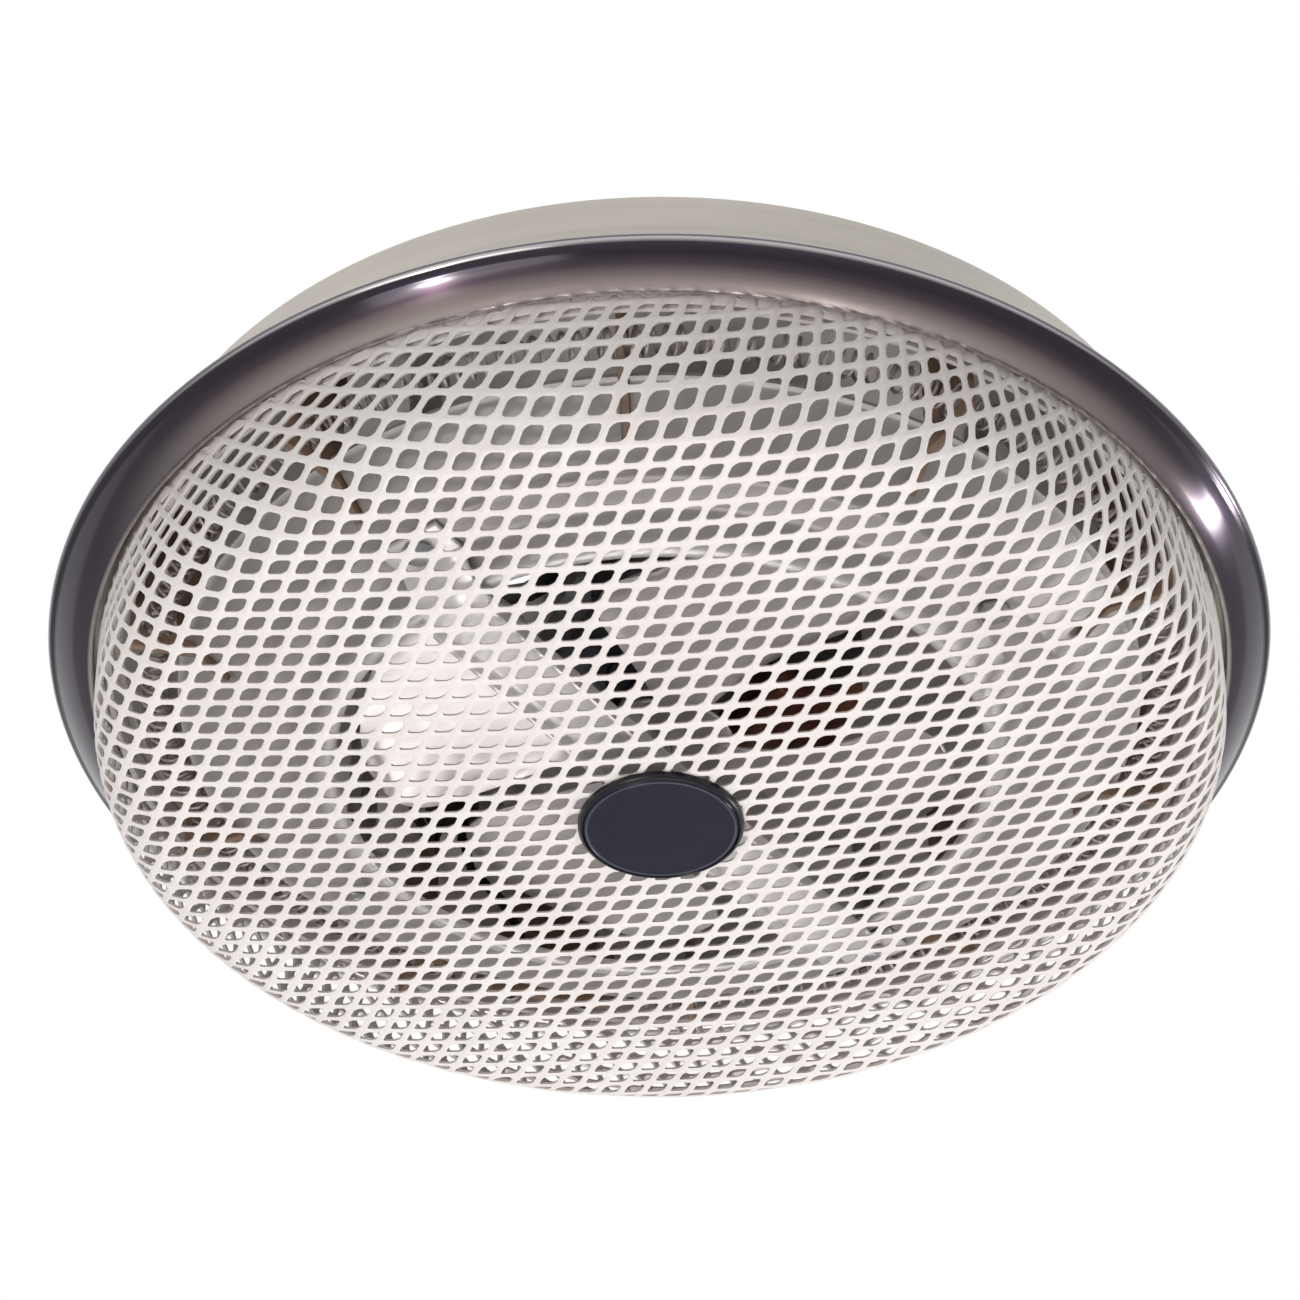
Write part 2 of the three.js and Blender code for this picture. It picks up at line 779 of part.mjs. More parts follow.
// ---------------------------------------------------------------- fan

const hubFlange = 12;
const hubFlangeSheet = 1.4;
const discZ = -bladeDrop;
const hubTop = discZ + bladeSheet / 2 + seat + hubHeight;

function makeHub() {
  const low = discZ + bladeSheet / 2 + seat;
  const bore = shaftRadius + seat;
  return turnedRing(
    [
      [bore, low],
      [hubFlange, low],
      [hubFlange, low + hubFlangeSheet],
      [hubRadius, low + hubFlangeSheet],
      [hubRadius, hubTop],
      [bore, hubTop],
    ],
    12,
  );
}

// One blade: a sheet that is flat at the disc and twists towards its tip, with rounded corners at the tip.
function makeBlade() {
  const along = 6;
  const acrossSteps = 4;
  const root = fanDisc - 4;
  const positions = [];
  const indices = [];
  for (let i = 0; i <= along; i++) {
    const u = i / along;
    const radius = root + (fanRadius - root) * u;
    const corner = u > 0.8 ? Math.sqrt(1 - ((u - 0.8) / 0.2) ** 2 * 0.55) : 1;
    const span = (bladeRootSpan + (bladeTipSpan - bladeRootSpan) * Math.min(1, 1.5 * u)) * corner;
    const rise = bladeRise * Math.min(1, u * 2.2);
    for (let j = 0; j <= acrossSteps; j++) {
      const v = (2 * j) / acrossSteps - 1;
      const z = discZ + rise * v + 1.5 * u * (1 - v * v);
      const middle = polar(radius, (span / 2) * v, z);
      positions.push(middle.x, middle.y, z + bladeSheet / 2);
      positions.push(middle.x, middle.y, z - bladeSheet / 2);
    }
  }
  const at = (i, j, face) => (i * (acrossSteps + 1) + j) * 2 + face;
  const quad = (a, b, c, d) => indices.push(a, b, c, a, c, d);
  for (let i = 0; i < along; i++) {
    for (let j = 0; j < acrossSteps; j++) {
      quad(at(i, j, 0), at(i + 1, j, 0), at(i + 1, j + 1, 0), at(i, j + 1, 0));
      quad(at(i, j, 1), at(i, j + 1, 1), at(i + 1, j + 1, 1), at(i + 1, j, 1));
    }
    quad(at(i, 0, 0), at(i, 0, 1), at(i + 1, 0, 1), at(i + 1, 0, 0));
    quad(at(i, acrossSteps, 0), at(i + 1, acrossSteps, 0), at(i + 1, acrossSteps, 1), at(i, acrossSteps, 1));
  }
  for (let j = 0; j < acrossSteps; j++) {
    quad(at(0, j, 0), at(0, j + 1, 0), at(0, j + 1, 1), at(0, j, 1));
    quad(at(along, j, 0), at(along, j, 1), at(along, j + 1, 1), at(along, j + 1, 0));
  }
  const geometry = new THREE.BufferGeometry();
  geometry.setAttribute("position", new THREE.Float32BufferAttribute(positions, 3));
  geometry.setIndex(indices);
  return toSolid(geometry);
}

function makeFan() {
  let fan = rod(fanDisc, discZ - bladeSheet / 2, discZ + bladeSheet / 2, 24);
  const blade = makeBlade();
  for (let i = 0; i < bladeCount; i++) {
    fan = fan.add(blade.rotate([0, 0, bladeAzimuth + (360 / bladeCount) * i]));
  }
  return fan.subtract(rod(shaftRadius + seat, discZ - 2, discZ + 2, 16));
}

// ---------------------------------------------------------------- grille

// The dome's section from its middle to its hem, as [radius, z], with the length run so far.
const hemTop = underFlange;
const hemLow = hemTop - hemHeight;
const domeSection = (() => {
  const crown = Array.from({ length: 13 }, (_, i) => {
    const radius = (grilleFaceRadius * i) / 12;
    return [radius, -grilleDrop + (grilleDrop - grilleFaceDrop) * (radius / grilleFaceRadius) ** 2];
  });
  const shoulder = arcPoints(
    grilleFaceRadius,
    -shoulderDrop,
    grilleRadius - grilleFaceRadius,
    grilleFaceDrop - shoulderDrop,
    -90,
    0,
    6,
  );
  const wall = [[grilleRadius + grilleDraft, hemLow]];
  const points = [...crown, ...shoulder.slice(1), ...wall];
  const runs = [0];
  points.slice(1).forEach(([radius, z], i) => {
    runs.push(runs[i] + Math.hypot(radius - points[i][0], z - points[i][1]));
  });
  return { points, runs, length: runs[runs.length - 1] };
})();

// A place on the dome: `run` along the section, `azimuth` round it, `inward` into its thickness.
function domePoint(run, azimuth, inward) {
  const { points, runs } = domeSection;
  let i = runs.findIndex((value) => value >= run);
  i = i < 1 ? 1 : i;
  const share = (run - runs[i - 1]) / (runs[i] - runs[i - 1]);
  const [r0, z0] = points[i - 1];
  const [r1, z1] = points[i];
  const length = runs[i] - runs[i - 1];
  const radius = r0 + (r1 - r0) * share - ((z1 - z0) / length) * inward;
  const z = z0 + (z1 - z0) * share + ((r1 - r0) / length) * inward;
  return [radius * Math.cos(azimuth), radius * Math.sin(azimuth), z];
}

function makeNet() {
  const turn = netTurn * degrees;
  const lattice = (i, j) => {
    const x = (i * netPitch + j * netLean) * netMerge;
    const y = j * netRow * netMerge;
    return [x * Math.cos(turn) - y * Math.sin(turn), x * Math.sin(turn) + y * Math.cos(turn)];
  };
  const reach = domeSection.length;
  const many = Math.ceil(reach / (Math.min(netPitch, netRow) * netMerge)) + 4;
  const positions = [];
  const indices = [];
  const known = new Map();
  const addPoint = (x, y) => {
    const run = Math.min(Math.hypot(x, y), reach);
    const azimuth = Math.atan2(y, x);
    positions.push(...domePoint(run, azimuth, 0), ...domePoint(run, azimuth, netSheet));
    return positions.length / 6 - 1;
  };
  const corner = (i, j) => {
    const key = `${i},${j}`;
    if (!known.has(key)) known.set(key, addPoint(...snapped(lattice(i, j), reach)));
    return known.get(key);
  };
  const cells = [];
  for (let i = -many; i < many; i++) {
    for (let j = -many; j < many; j++) {
      const ring = [[i, j], [i + 1, j], [i + 1, j + 1], [i, j + 1]];
      if (ring.some(([a, b]) => Math.hypot(...lattice(a, b)) < reach)) cells.push(ring);
    }
  }
  const quad = (a, b, c, d) => indices.push(a, b, c, a, c, d);
  const outer = (index) => 2 * index;
  const inner = (index) => 2 * index + 1;
  const edges = new Map();
  let gaps = 0;
  for (const ring of cells) {
    const flat = ring.map(([i, j]) => snapped(lattice(i, j), reach));
    const corners = ring.map(([i, j]) => corner(i, j));
    const middle = [0, 1].map((k) => flat.reduce((sum, point) => sum + point[k], 0) / 4);
    const whole = netPitch * netRow * netMerge ** 2;
    const open = area(flat) > 0.3 * whole && Math.hypot(...middle) > netSolid;
    if (open) {
      gaps += 1;
      const shrink = 1 - netStrand / (netRow * netMerge);
      const drawnIn = (value, k) => middle[k] + (value - middle[k]) * shrink;
      const hole = flat.map(([x, y]) => addPoint(drawnIn(x, 0), drawnIn(y, 1)));
      for (let k = 0; k < 4; k++) {
        const next = (k + 1) % 4;
        quad(outer(corners[k]), outer(hole[k]), outer(hole[next]), outer(corners[next]));
        quad(inner(corners[k]), inner(corners[next]), inner(hole[next]), inner(hole[k]));
        quad(outer(hole[k]), inner(hole[k]), inner(hole[next]), outer(hole[next]));
      }
    } else {
      quad(...[0, 3, 2, 1].map((k) => outer(corners[k])));
      quad(...[0, 1, 2, 3].map((k) => inner(corners[k])));
    }
    for (let k = 0; k < 4; k++) {
      const [a, b] = [corners[k], corners[(k + 1) % 4]];
      if (edges.has(`${b},${a}`)) edges.delete(`${b},${a}`);
      else edges.set(`${a},${b}`, [a, b]);
    }
  }
  // The hem: a thicker upright band along the net's edge.
  const hemPoints = new Map();
  const hemAt = (index) => {
    if (!hemPoints.has(index)) {
      const azimuth = Math.atan2(positions[index * 6 + 1], positions[index * 6]);
      const innerRadius = grilleRadius + grilleDraft - hemWidth;
      const outerRadius = grilleRadius + grilleDraft + hemLap;
      const [x, y] = [Math.cos(azimuth), Math.sin(azimuth)];
      positions.push(x * outerRadius, y * outerRadius, hemLow, x * outerRadius, y * outerRadius, hemTop);
      positions.push(x * innerRadius, y * innerRadius, hemLow, x * innerRadius, y * innerRadius, hemTop);
      hemPoints.set(index, positions.length / 3 - 4);
    }
    return hemPoints.get(index);
  };
  for (const [a, b] of edges.values()) {
    const [hemA, hemB] = [hemAt(a), hemAt(b)];
    quad(outer(a), outer(b), hemB, hemA);
    quad(hemA, hemB, hemB + 1, hemA + 1);
    quad(hemA + 1, hemB + 1, hemB + 3, hemA + 3);
    quad(hemA + 3, hemB + 3, hemB + 2, hemA + 2);
    quad(hemA + 2, hemB + 2, inner(b), inner(a));
  }
  const geometry = new THREE.BufferGeometry();
  geometry.setAttribute("position", new THREE.Float32BufferAttribute(positions, 3));
  geometry.setIndex(indices);
  console.log(`grille: ${gaps} gaps`);
  return toSolid(geometry);
}

function snapped([x, y], reach) {
  const length = Math.hypot(x, y);
  return length <= reach ? [x, y] : [(x * reach) / length, (y * reach) / length];
}

function area(ring) {
  return Math.abs(ring.reduce((sum, [x, y], i) => {
    const [nextX, nextY] = ring[(i + 1) % ring.length];
    return sum + (x * nextY - nextX * y) / 2;
  }, 0));
}

function makeGrille() {
  const centreHole = rod(knobHub + slide, -grilleDrop - 2, -grilleDrop + 4, 16);
  return makeNet().subtract(centreHole);
}

function makeCentrePlate() {
  const low = -grilleDrop + netSheet + 0.35 + seat;
  return washer(knobHub + slide, netSolid, low, low + 1, 16);
}

// ---------------------------------------------------------------- knob

const insertWall = 1.6;
const insertBore = studRadius + threadGap;
const discRecess = 1.1;
const knobFoot = knobTop - knobHeight;

function makeKnob() {
  const bore = insertBore + insertWall + seat;
  const recess = knobRadius - knobBezel;
  const hubTopZ = knobTop + knobHubHeight;
  const outline = [
    [0, knobFoot + discRecess],
    [recess, knobFoot + discRecess],
    [recess, knobFoot],
    [knobRadius - 0.8, knobFoot],
    [knobRadius, knobFoot + 0.9],
    [knobRadius, knobTop - 1],
    [knobRadius - 0.6, knobTop],
    [knobHub, knobTop],
    [knobHub, hubTopZ],
    [0, hubTopZ],
  ];
  return turned(outline, 24).subtract(rod(bore, knobFoot + discRecess + 1, hubTopZ + 1, 16));
}

function makeInsert() {
  const low = knobFoot + discRecess + 1 + seat;
  const high = knobTop + knobHubHeight;
  const outer = insertBore + insertWall;
  return washer(insertBore, outer, low, high, 16);
}

function makeMedallionDisc() {
  const radius = knobRadius - knobBezel - seat;
  const back = knobFoot + discRecess - seat;
  const outline = [
    [0, knobFoot - 0.3],
    [radius - 0.5, knobFoot - 0.1],
    [radius, knobFoot + 0.2],
    [radius, back],
    [0, back],
  ];
  return turned(outline, 24);
}

function makeStud() {
  const top = -strapDrop + seat;
  const foot = knobFoot + discRecess + 1.8;
  const outline = [
    [0, foot],
    [studRadius - 0.4, foot],
    [studRadius, foot + 0.6],
    [studRadius, top],
    [studHead, top],
    [studHead, top + 1.4],
    [0, top + 1.4],
  ];
  return turned(outline, 16);
}

function makeStudNut() {
  const high = -strapDrop - strapSheet - seat;
  const hexagon = rod(studNut, high - studNutHeight, high, 6);
  return hexagon.subtract(rod(studRadius + threadGap, high - studNutHeight - 1, high + 1, 16));
}

// ---------------------------------------------------------------- wiring

function lead(points) {
  const path = new THREE.CatmullRomCurve3(points, false, "centripetal");
  const corners = arcPoints(0, 0, leadRadius, leadRadius, 0, 360 - 360 / leadSides, leadSides - 1);
  const section = new THREE.Shape(corners.map(([x, y]) => new THREE.Vector2(x, y)));
  const steps = Math.round(path.getLength() / (8 * leadRadius));
  return toSolid(new THREE.ExtrudeGeometry(section, { steps, extrudePath: path, bevelEnabled: false }));
}

function makeBushing() {
  const outer = wireHole / 2 - slide;
  const inner = outer - 2.6;
  const low = panInside - seat - 1.4;
  const outline = [
    [inner, low],
    [outer + 2.4, low],
    [outer + 2.4, panInside - seat],
    [outer, panInside - seat],
    [outer, stubEnd],
    [inner, stubEnd],
  ];
  return turnedRing(outline, 14);
}

function makeWireNut() {
  return turned(
    [
      [0, 8],
      [wireNutBore, 8],
      [wireNutBore, 0],
      [wireNutRadius, 0],
      [wireNutRadius, 6],
      [wireNutRadius - 2, wireNutLength],
      [0, wireNutLength],
    ],
    12,
  );
}

const cutoutEarSheet = 0.8;
const cutoutTop = panInside - seat;

// The metal cap of the thermal cut-out: a disc with an ear on each side, flat against the pan.
function makeCutoutCap() {
  const low = cutoutTop - cutoutEarSheet;
  let cap = rod(cutoutRadius + 1.2, low, cutoutTop, 16).add(box(2 * cutoutEar, 6, low, cutoutTop));
  for (const side of [-1, 1]) {
    const ear = rod(3, low, cutoutTop, 10);
    cap = cap.add(ear.translate([side * cutoutEar, 0, 0]));
    cap = cap.subtract(rod(1.4, low - 1, cutoutTop + 1, 8).translate([side * cutoutEar, 0, 0]));
  }
  return cap;
}

function makeCutoutBody() {
  const top = cutoutTop - cutoutEarSheet - seat;
  let body = rod(cutoutRadius, top - cutoutHeight, top, 16);
  for (const side of [-1, 1]) {
    const tab = box(0.8, 4.8, top - cutoutHeight - cutoutTabLength, top - cutoutHeight + 1);
    body = body.add(tab.translate([side * cutoutTab, 0, 0]));
  }
  return body;
}

// ---------------------------------------------------------------- assembly

const heater = new THREE.Group();
heater.add(node("ceiling_pan", makeCeilingPan(), "satinSteel"));
heater.add(node("trim_ring", makeTrimRing(), "darkChrome"));
trimScrewAzimuths.forEach((azimuth, i) => {
  const mesh = node(`trim_screw_${i + 1}`, screw(trimScrewRadius, 3.6, 2.8, 1.7), "steel");
  mesh.position.copy(polar(trimScrewRing, azimuth, flangeTop + seat));
  heater.add(mesh);
});

heater.add(node("orifice_plate", makeOrificePlate(), "plateFinish"));
postAzimuths.forEach((azimuth, i) => {
  const post = node(`plate_post_${i + 1}`, makePost(), "steel");
  post.position.copy(polar(postRing, azimuth));
  heater.add(post);
  const overStrap = i % 2 === 0;
  const face = overStrap ? landRoom - seat - strapSheet : landRoom;
  const plateScrew = screw(screwShank, screwReach - 2, screwHeadRadius, screwHeadHeight);
  const fixing = node(`plate_screw_${i + 1}`, plateScrew, "steel");
  fixing.position.copy(polar(postRing, azimuth, face - seat));
  fixing.rotation.x = Math.PI;
  heater.add(fixing);
});

const strapGroup = new THREE.Group();
strapGroup.rotation.z = strapAzimuth * degrees;
strapGroup.add(node("grille_strap", makeStrap(), "brightAluminium"));
heater.add(strapGroup);
heater.add(node("grille_stud", makeStud(), "steel"));
heater.add(node("stud_nut", makeStudNut(), "steel"));

supportAzimuths.forEach((azimuth, i) => {
  const support = node(`element_support_${i + 1}`, makeSupport(), "mica");
  support.rotation.z = azimuth * degrees;
  heater.add(support);
});
const coilPoints = coilPath();
const coilGap = leastSelfGap(coilPoints, wireRadius);
console.log(`element coil: ${coilCurls} curls, least gap to itself ${coilGap.toFixed(2)} mm`);
heater.add(node("element_coil", wireTube(coilPoints, wireRadius, wireSides), "elementWire"));

const terminalGroup = new THREE.Group();
terminalGroup.rotation.z = terminalAzimuth * degrees;
const terminalBoard = node("terminal_board", makeTerminalBoard(), "mica");
terminalBoard.position.x = terminalBoardRing;
terminalBoard.rotation.z = Math.PI / 2;
terminalGroup.add(terminalBoard);
[-1, 1].forEach((side, i) => {
  const bolt = node(`terminal_bolt_${i + 1}`, makeTerminalBolt(), "steel");
  bolt.position.set(boltRing, (side * terminalSpacing) / 2, -coilDrop);
  bolt.rotation.y = -Math.PI / 2;
  terminalGroup.add(bolt);
});
heater.add(terminalGroup);

const motor = new THREE.Group();
motor.rotation.z = motorAzimuth * degrees;
motor.add(node("motor_stack", makeStack(), "laminations"));
motor.add(node("motor_winding", makeWinding(), "winding"));
const upperBracket = node("motor_bracket_upper", makeBracket(), "castBracket");
upperBracket.position.z = stackTop;
const lowerBracket = node("motor_bracket_lower", makeBracket(), "castBracket");
lowerBracket.position.z = stackBottom;
lowerBracket.rotation.x = Math.PI;
const upperBearing = node("motor_bearing_upper", makeBearing(), "bronze");
upperBearing.position.z = stackTop;
const lowerBearing = node("motor_bearing_lower", makeBearing(), "bronze");
lowerBearing.position.z = stackBottom;
lowerBearing.rotation.x = Math.PI;
motor.add(upperBracket, lowerBracket, upperBearing, lowerBearing);
const spacerFoot = stackTop + 2 * seat + bracketSheet;
const screwSeat = stackBottom - 2 * seat - bracketSheet;
[-1, 1].forEach((side, i) => {
  const bore = motorScrewRadius + slide;
  const top = panInside - seat;
  const spacer = washer(bore, bore + spacerWall, spacerFoot, top, 8);
  const spacerNode = node(`motor_spacer_${i + 1}`, spacer, "steel");
  spacerNode.position.y = side * motorScrewOffset;
  const length = stubEnd - screwSeat;
  const screwNode = node(`motor_screw_${i + 1}`, screw(motorScrewRadius, length, 3.6, 2), "steel");
  screwNode.position.set(0, side * motorScrewOffset, screwSeat);
  screwNode.rotation.x = Math.PI;
  motor.add(spacerNode, screwNode);
});
motor.add(node("motor_rotor", makeRotor(), "laminations"));
motor.add(node("motor_shaft", rod(shaftRadius, shaftFoot, shaftTop, 20), "steel"));
heater.add(motor);
heater.add(node("fan_hub", makeHub(), "brass"));
heater.add(node("fan_blades", makeFan(), "brightAluminium"));

heater.add(node("grille", makeGrille(), "paintedNet"));
heater.add(node("grille_centre_plate", makeCentrePlate(), "galvanised"));
heater.add(node("knob", makeKnob(), "darkPlastic"));
heater.add(node("knob_insert", makeInsert(), "brass"));
heater.add(node("medallion_disc", makeMedallionDisc(), "medallionFace"));

const bushing = node("wire_bushing", makeBushing(), "bushing");
bushing.position.copy(polar(wireHoleRadius, wireHoleAzimuth));
heater.add(bushing);

const cutout = new THREE.Group();
cutout.position.copy(polar(cutoutRing, cutoutAzimuth));
cutout.rotation.z = (cutoutAzimuth + 90) * degrees;
cutout.add(node("thermal_cutout_cap", makeCutoutCap(), "galvanised"));
cutout.add(node("thermal_cutout", makeCutoutBody(), "phenolic"));
heater.add(cutout);

function addWireNut(name, azimuth, side, finish) {
  const nut = node(name, makeWireNut(), finish);
  nut.position.copy(polar(wireNutRing, azimuth, -wireNutDrop));
  nut.rotation.set(-90 * degrees, 0, (azimuth + (side < 0 ? 180 : 0)) * degrees, "ZXY");
  heater.add(nut);
}
addWireNut("wire_nut_line", lineNutAzimuth, 1, "phenolic");
addWireNut("wire_nut_neutral", neutralNutAzimuth, -1, "phenolic");

// Where each lead starts and ends: in a wire nut, on a terminal, or on the winding.
const nutEntry = (azimuth, side, out, back) => {
  const mouth = polar(wireNutRing + out, azimuth, -wireNutDrop);
  const along = polar(1, azimuth + 90);
  return mouth.addScaledVector(along, side * back);
};
const tabFoot = cutoutTop - cutoutEarSheet - seat - cutoutHeight - cutoutTabLength - seat;
const cutoutTerminal = (side, below) => {
  const along = polar(side * cutoutTab, cutoutAzimuth + 90);
  return polar(cutoutRing, cutoutAzimuth, tabFoot - below).add(along);
};
const boltEnd = boltRing - (boltRing - terminalBoardRing + 6) - seat;
const boltTerminal = (side, back) => {
  const across = polar((side * terminalSpacing) / 2, terminalAzimuth + 90);
  return polar(boltEnd - back, terminalAzimuth, -coilDrop).add(across);
};
const windingTop = (stackTop + stackBottom + stackHeight) / 2 + windingWall;
const motorRun = wireNutRing - leadRunIn;
const neutralRun = postRing - leadRunIn;
const windingEnd = (side, out, z) => {
  const along = polar(legOffset + 7, motorAzimuth, z);
  return along.addScaledVector(polar(1, motorAzimuth + 90), side * (windingLength / 2 + seat + out));
};
const nutIn = 5;
const leads = {
  lead_line_to_cutout: [
    nutEntry(lineNutAzimuth, 1, 1.7, nutIn),
    nutEntry(lineNutAzimuth, 1, 1.7, -4),
    polar(wireNutRing + leadRunIn, 145, -1.5 * leadRunDrop),
    polar(wireNutRing + 2 * leadRunIn, 135, -2.5 * leadRunDrop),
    cutoutTerminal(1, 7),
    cutoutTerminal(1, 0),
  ],
  lead_cutout_to_element: [
    cutoutTerminal(-1, 0),
    cutoutTerminal(-1, 6),
    polar(cutoutRing + 2, 115, 6 - coilDrop),
    boltTerminal(1, 6),
    boltTerminal(1, 0),
  ],
  lead_neutral_to_element: [
    nutEntry(neutralNutAzimuth, -1, 1.7, nutIn),
    nutEntry(neutralNutAzimuth, -1, 1.7, -4),
    polar(neutralRun - 5, 209, 1 - leadRunDrop),
    polar(neutralRun, 202, 3 - leadRunDrop),
    polar(neutralRun, 180, 3.5 - leadRunDrop),
    polar(neutralRun, 155, 3.5 - leadRunDrop),
    polar(neutralRun, 130, 3.5 - leadRunDrop),
    polar(neutralRun + 5, 110, -leadRunDrop),
    polar(neutralRun + 14, 100, -3 * leadRunDrop),
    boltTerminal(-1, 6),
    boltTerminal(-1, 0),
  ],
  lead_motor_to_line: [
    windingEnd(1, 0, windingTop - 8),
    windingEnd(1, 6, windingTop - 6),
    polar(motorRun, 70, -leadRunDrop - 1),
    polar(motorRun, 95, -leadRunDrop),
    polar(motorRun, 120, -leadRunDrop),
    polar(motorRun + 4, 142, -leadRunDrop - 1),
    nutEntry(lineNutAzimuth, 1, -1.7, -4),
    nutEntry(lineNutAzimuth, 1, -1.7, nutIn),
  ],
  lead_motor_to_neutral: [
    windingEnd(-1, 0, windingTop - 8),
    windingEnd(-1, 6, windingTop - 6),
    polar(motorRun, -25, -leadRunDrop - 1),
    polar(motorRun, -60, -leadRunDrop),
    polar(motorRun, -95, -leadRunDrop),
    polar(motorRun + 2, -125, -leadRunDrop),
    polar(motorRun + 6, -146, -leadRunDrop - 1),
    nutEntry(neutralNutAzimuth, -1, -1.7, -4),
    nutEntry(neutralNutAzimuth, -1, -1.7, nutIn),
  ],
};
const leadFinishes = ["blackLead", "blackLead", "whiteLead", "blackLead", "whiteLead"];
Object.entries(leads).forEach(([name, points], i) => {
  heater.add(node(name, lead(points), leadFinishes[i]));
});

export default heater;
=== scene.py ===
import bpy
import json
import math
from mathutils import Matrix, Vector

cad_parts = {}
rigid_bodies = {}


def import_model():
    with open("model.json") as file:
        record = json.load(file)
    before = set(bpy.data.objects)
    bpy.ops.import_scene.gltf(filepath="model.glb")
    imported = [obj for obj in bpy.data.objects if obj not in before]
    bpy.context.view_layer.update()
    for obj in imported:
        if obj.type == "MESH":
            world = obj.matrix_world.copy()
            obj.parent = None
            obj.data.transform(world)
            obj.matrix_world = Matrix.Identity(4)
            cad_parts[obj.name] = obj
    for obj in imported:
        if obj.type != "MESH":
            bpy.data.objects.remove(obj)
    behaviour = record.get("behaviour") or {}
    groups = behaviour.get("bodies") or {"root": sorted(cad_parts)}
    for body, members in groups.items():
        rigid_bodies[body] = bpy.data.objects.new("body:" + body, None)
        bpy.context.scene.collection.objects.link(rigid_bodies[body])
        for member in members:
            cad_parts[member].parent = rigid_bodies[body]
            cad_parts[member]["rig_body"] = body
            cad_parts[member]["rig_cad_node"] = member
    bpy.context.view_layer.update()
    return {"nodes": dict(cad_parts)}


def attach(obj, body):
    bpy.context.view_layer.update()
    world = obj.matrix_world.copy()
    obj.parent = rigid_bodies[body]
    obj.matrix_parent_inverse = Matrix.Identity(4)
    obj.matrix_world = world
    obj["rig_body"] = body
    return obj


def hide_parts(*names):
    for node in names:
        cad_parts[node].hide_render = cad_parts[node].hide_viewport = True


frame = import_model()
mm = 0.001
nodes = frame["nodes"]
slotOf = {name: piece.data.materials[0].name for name, piece in nodes.items()}
scene = bpy.context.scene
scene.view_settings.view_transform = "Standard"
print("frame loaded:", len(nodes), "nodes")

# ---- camera: below and in front of the heater, looking up at it

cameraSet = {
    "distance": 0.83983,
    "elevation": 40.266,
    "roll": -0.5,
    "aimHeight": -0.0305,
    "lens": 99.93,
    "shiftX": -0.00756,
    "shiftY": 0.02633,
    "sensor": 36,
    "nearest": 0.01,
}
camData = bpy.data.cameras.new("camera")
camera = bpy.data.objects.new("camera", camData)
scene.collection.objects.link(camera)
rise = math.radians(cameraSet["elevation"])
aim = Vector((0, 0, cameraSet["aimHeight"]))
back = Vector((0, -math.cos(rise), -math.sin(rise)))
camera.location = aim + back * cameraSet["distance"]
turnToAim = (-back).to_track_quat("-Z", "Y").to_matrix()
rollTurn = Matrix.Rotation(math.radians(cameraSet["roll"]), 3, "Z")
camera.rotation_euler = (turnToAim @ rollTurn).to_euler()
camData.sensor_width = cameraSet["sensor"]
camData.lens = cameraSet["lens"]
camData.shift_x = cameraSet["shiftX"]
camData.shift_y = cameraSet["shiftY"]
camData.clip_start = cameraSet["nearest"]
scene.camera = camera

# ---- finishes

surface = {
    "coatRoughness": 0.12, "roughSpread": 0.07, "bumpHeight": 0.0004,
    "patchFrom": 0.35, "patchTo": 0.65, "grainDetail": 4.0, "patchDetail": 3.0,
}
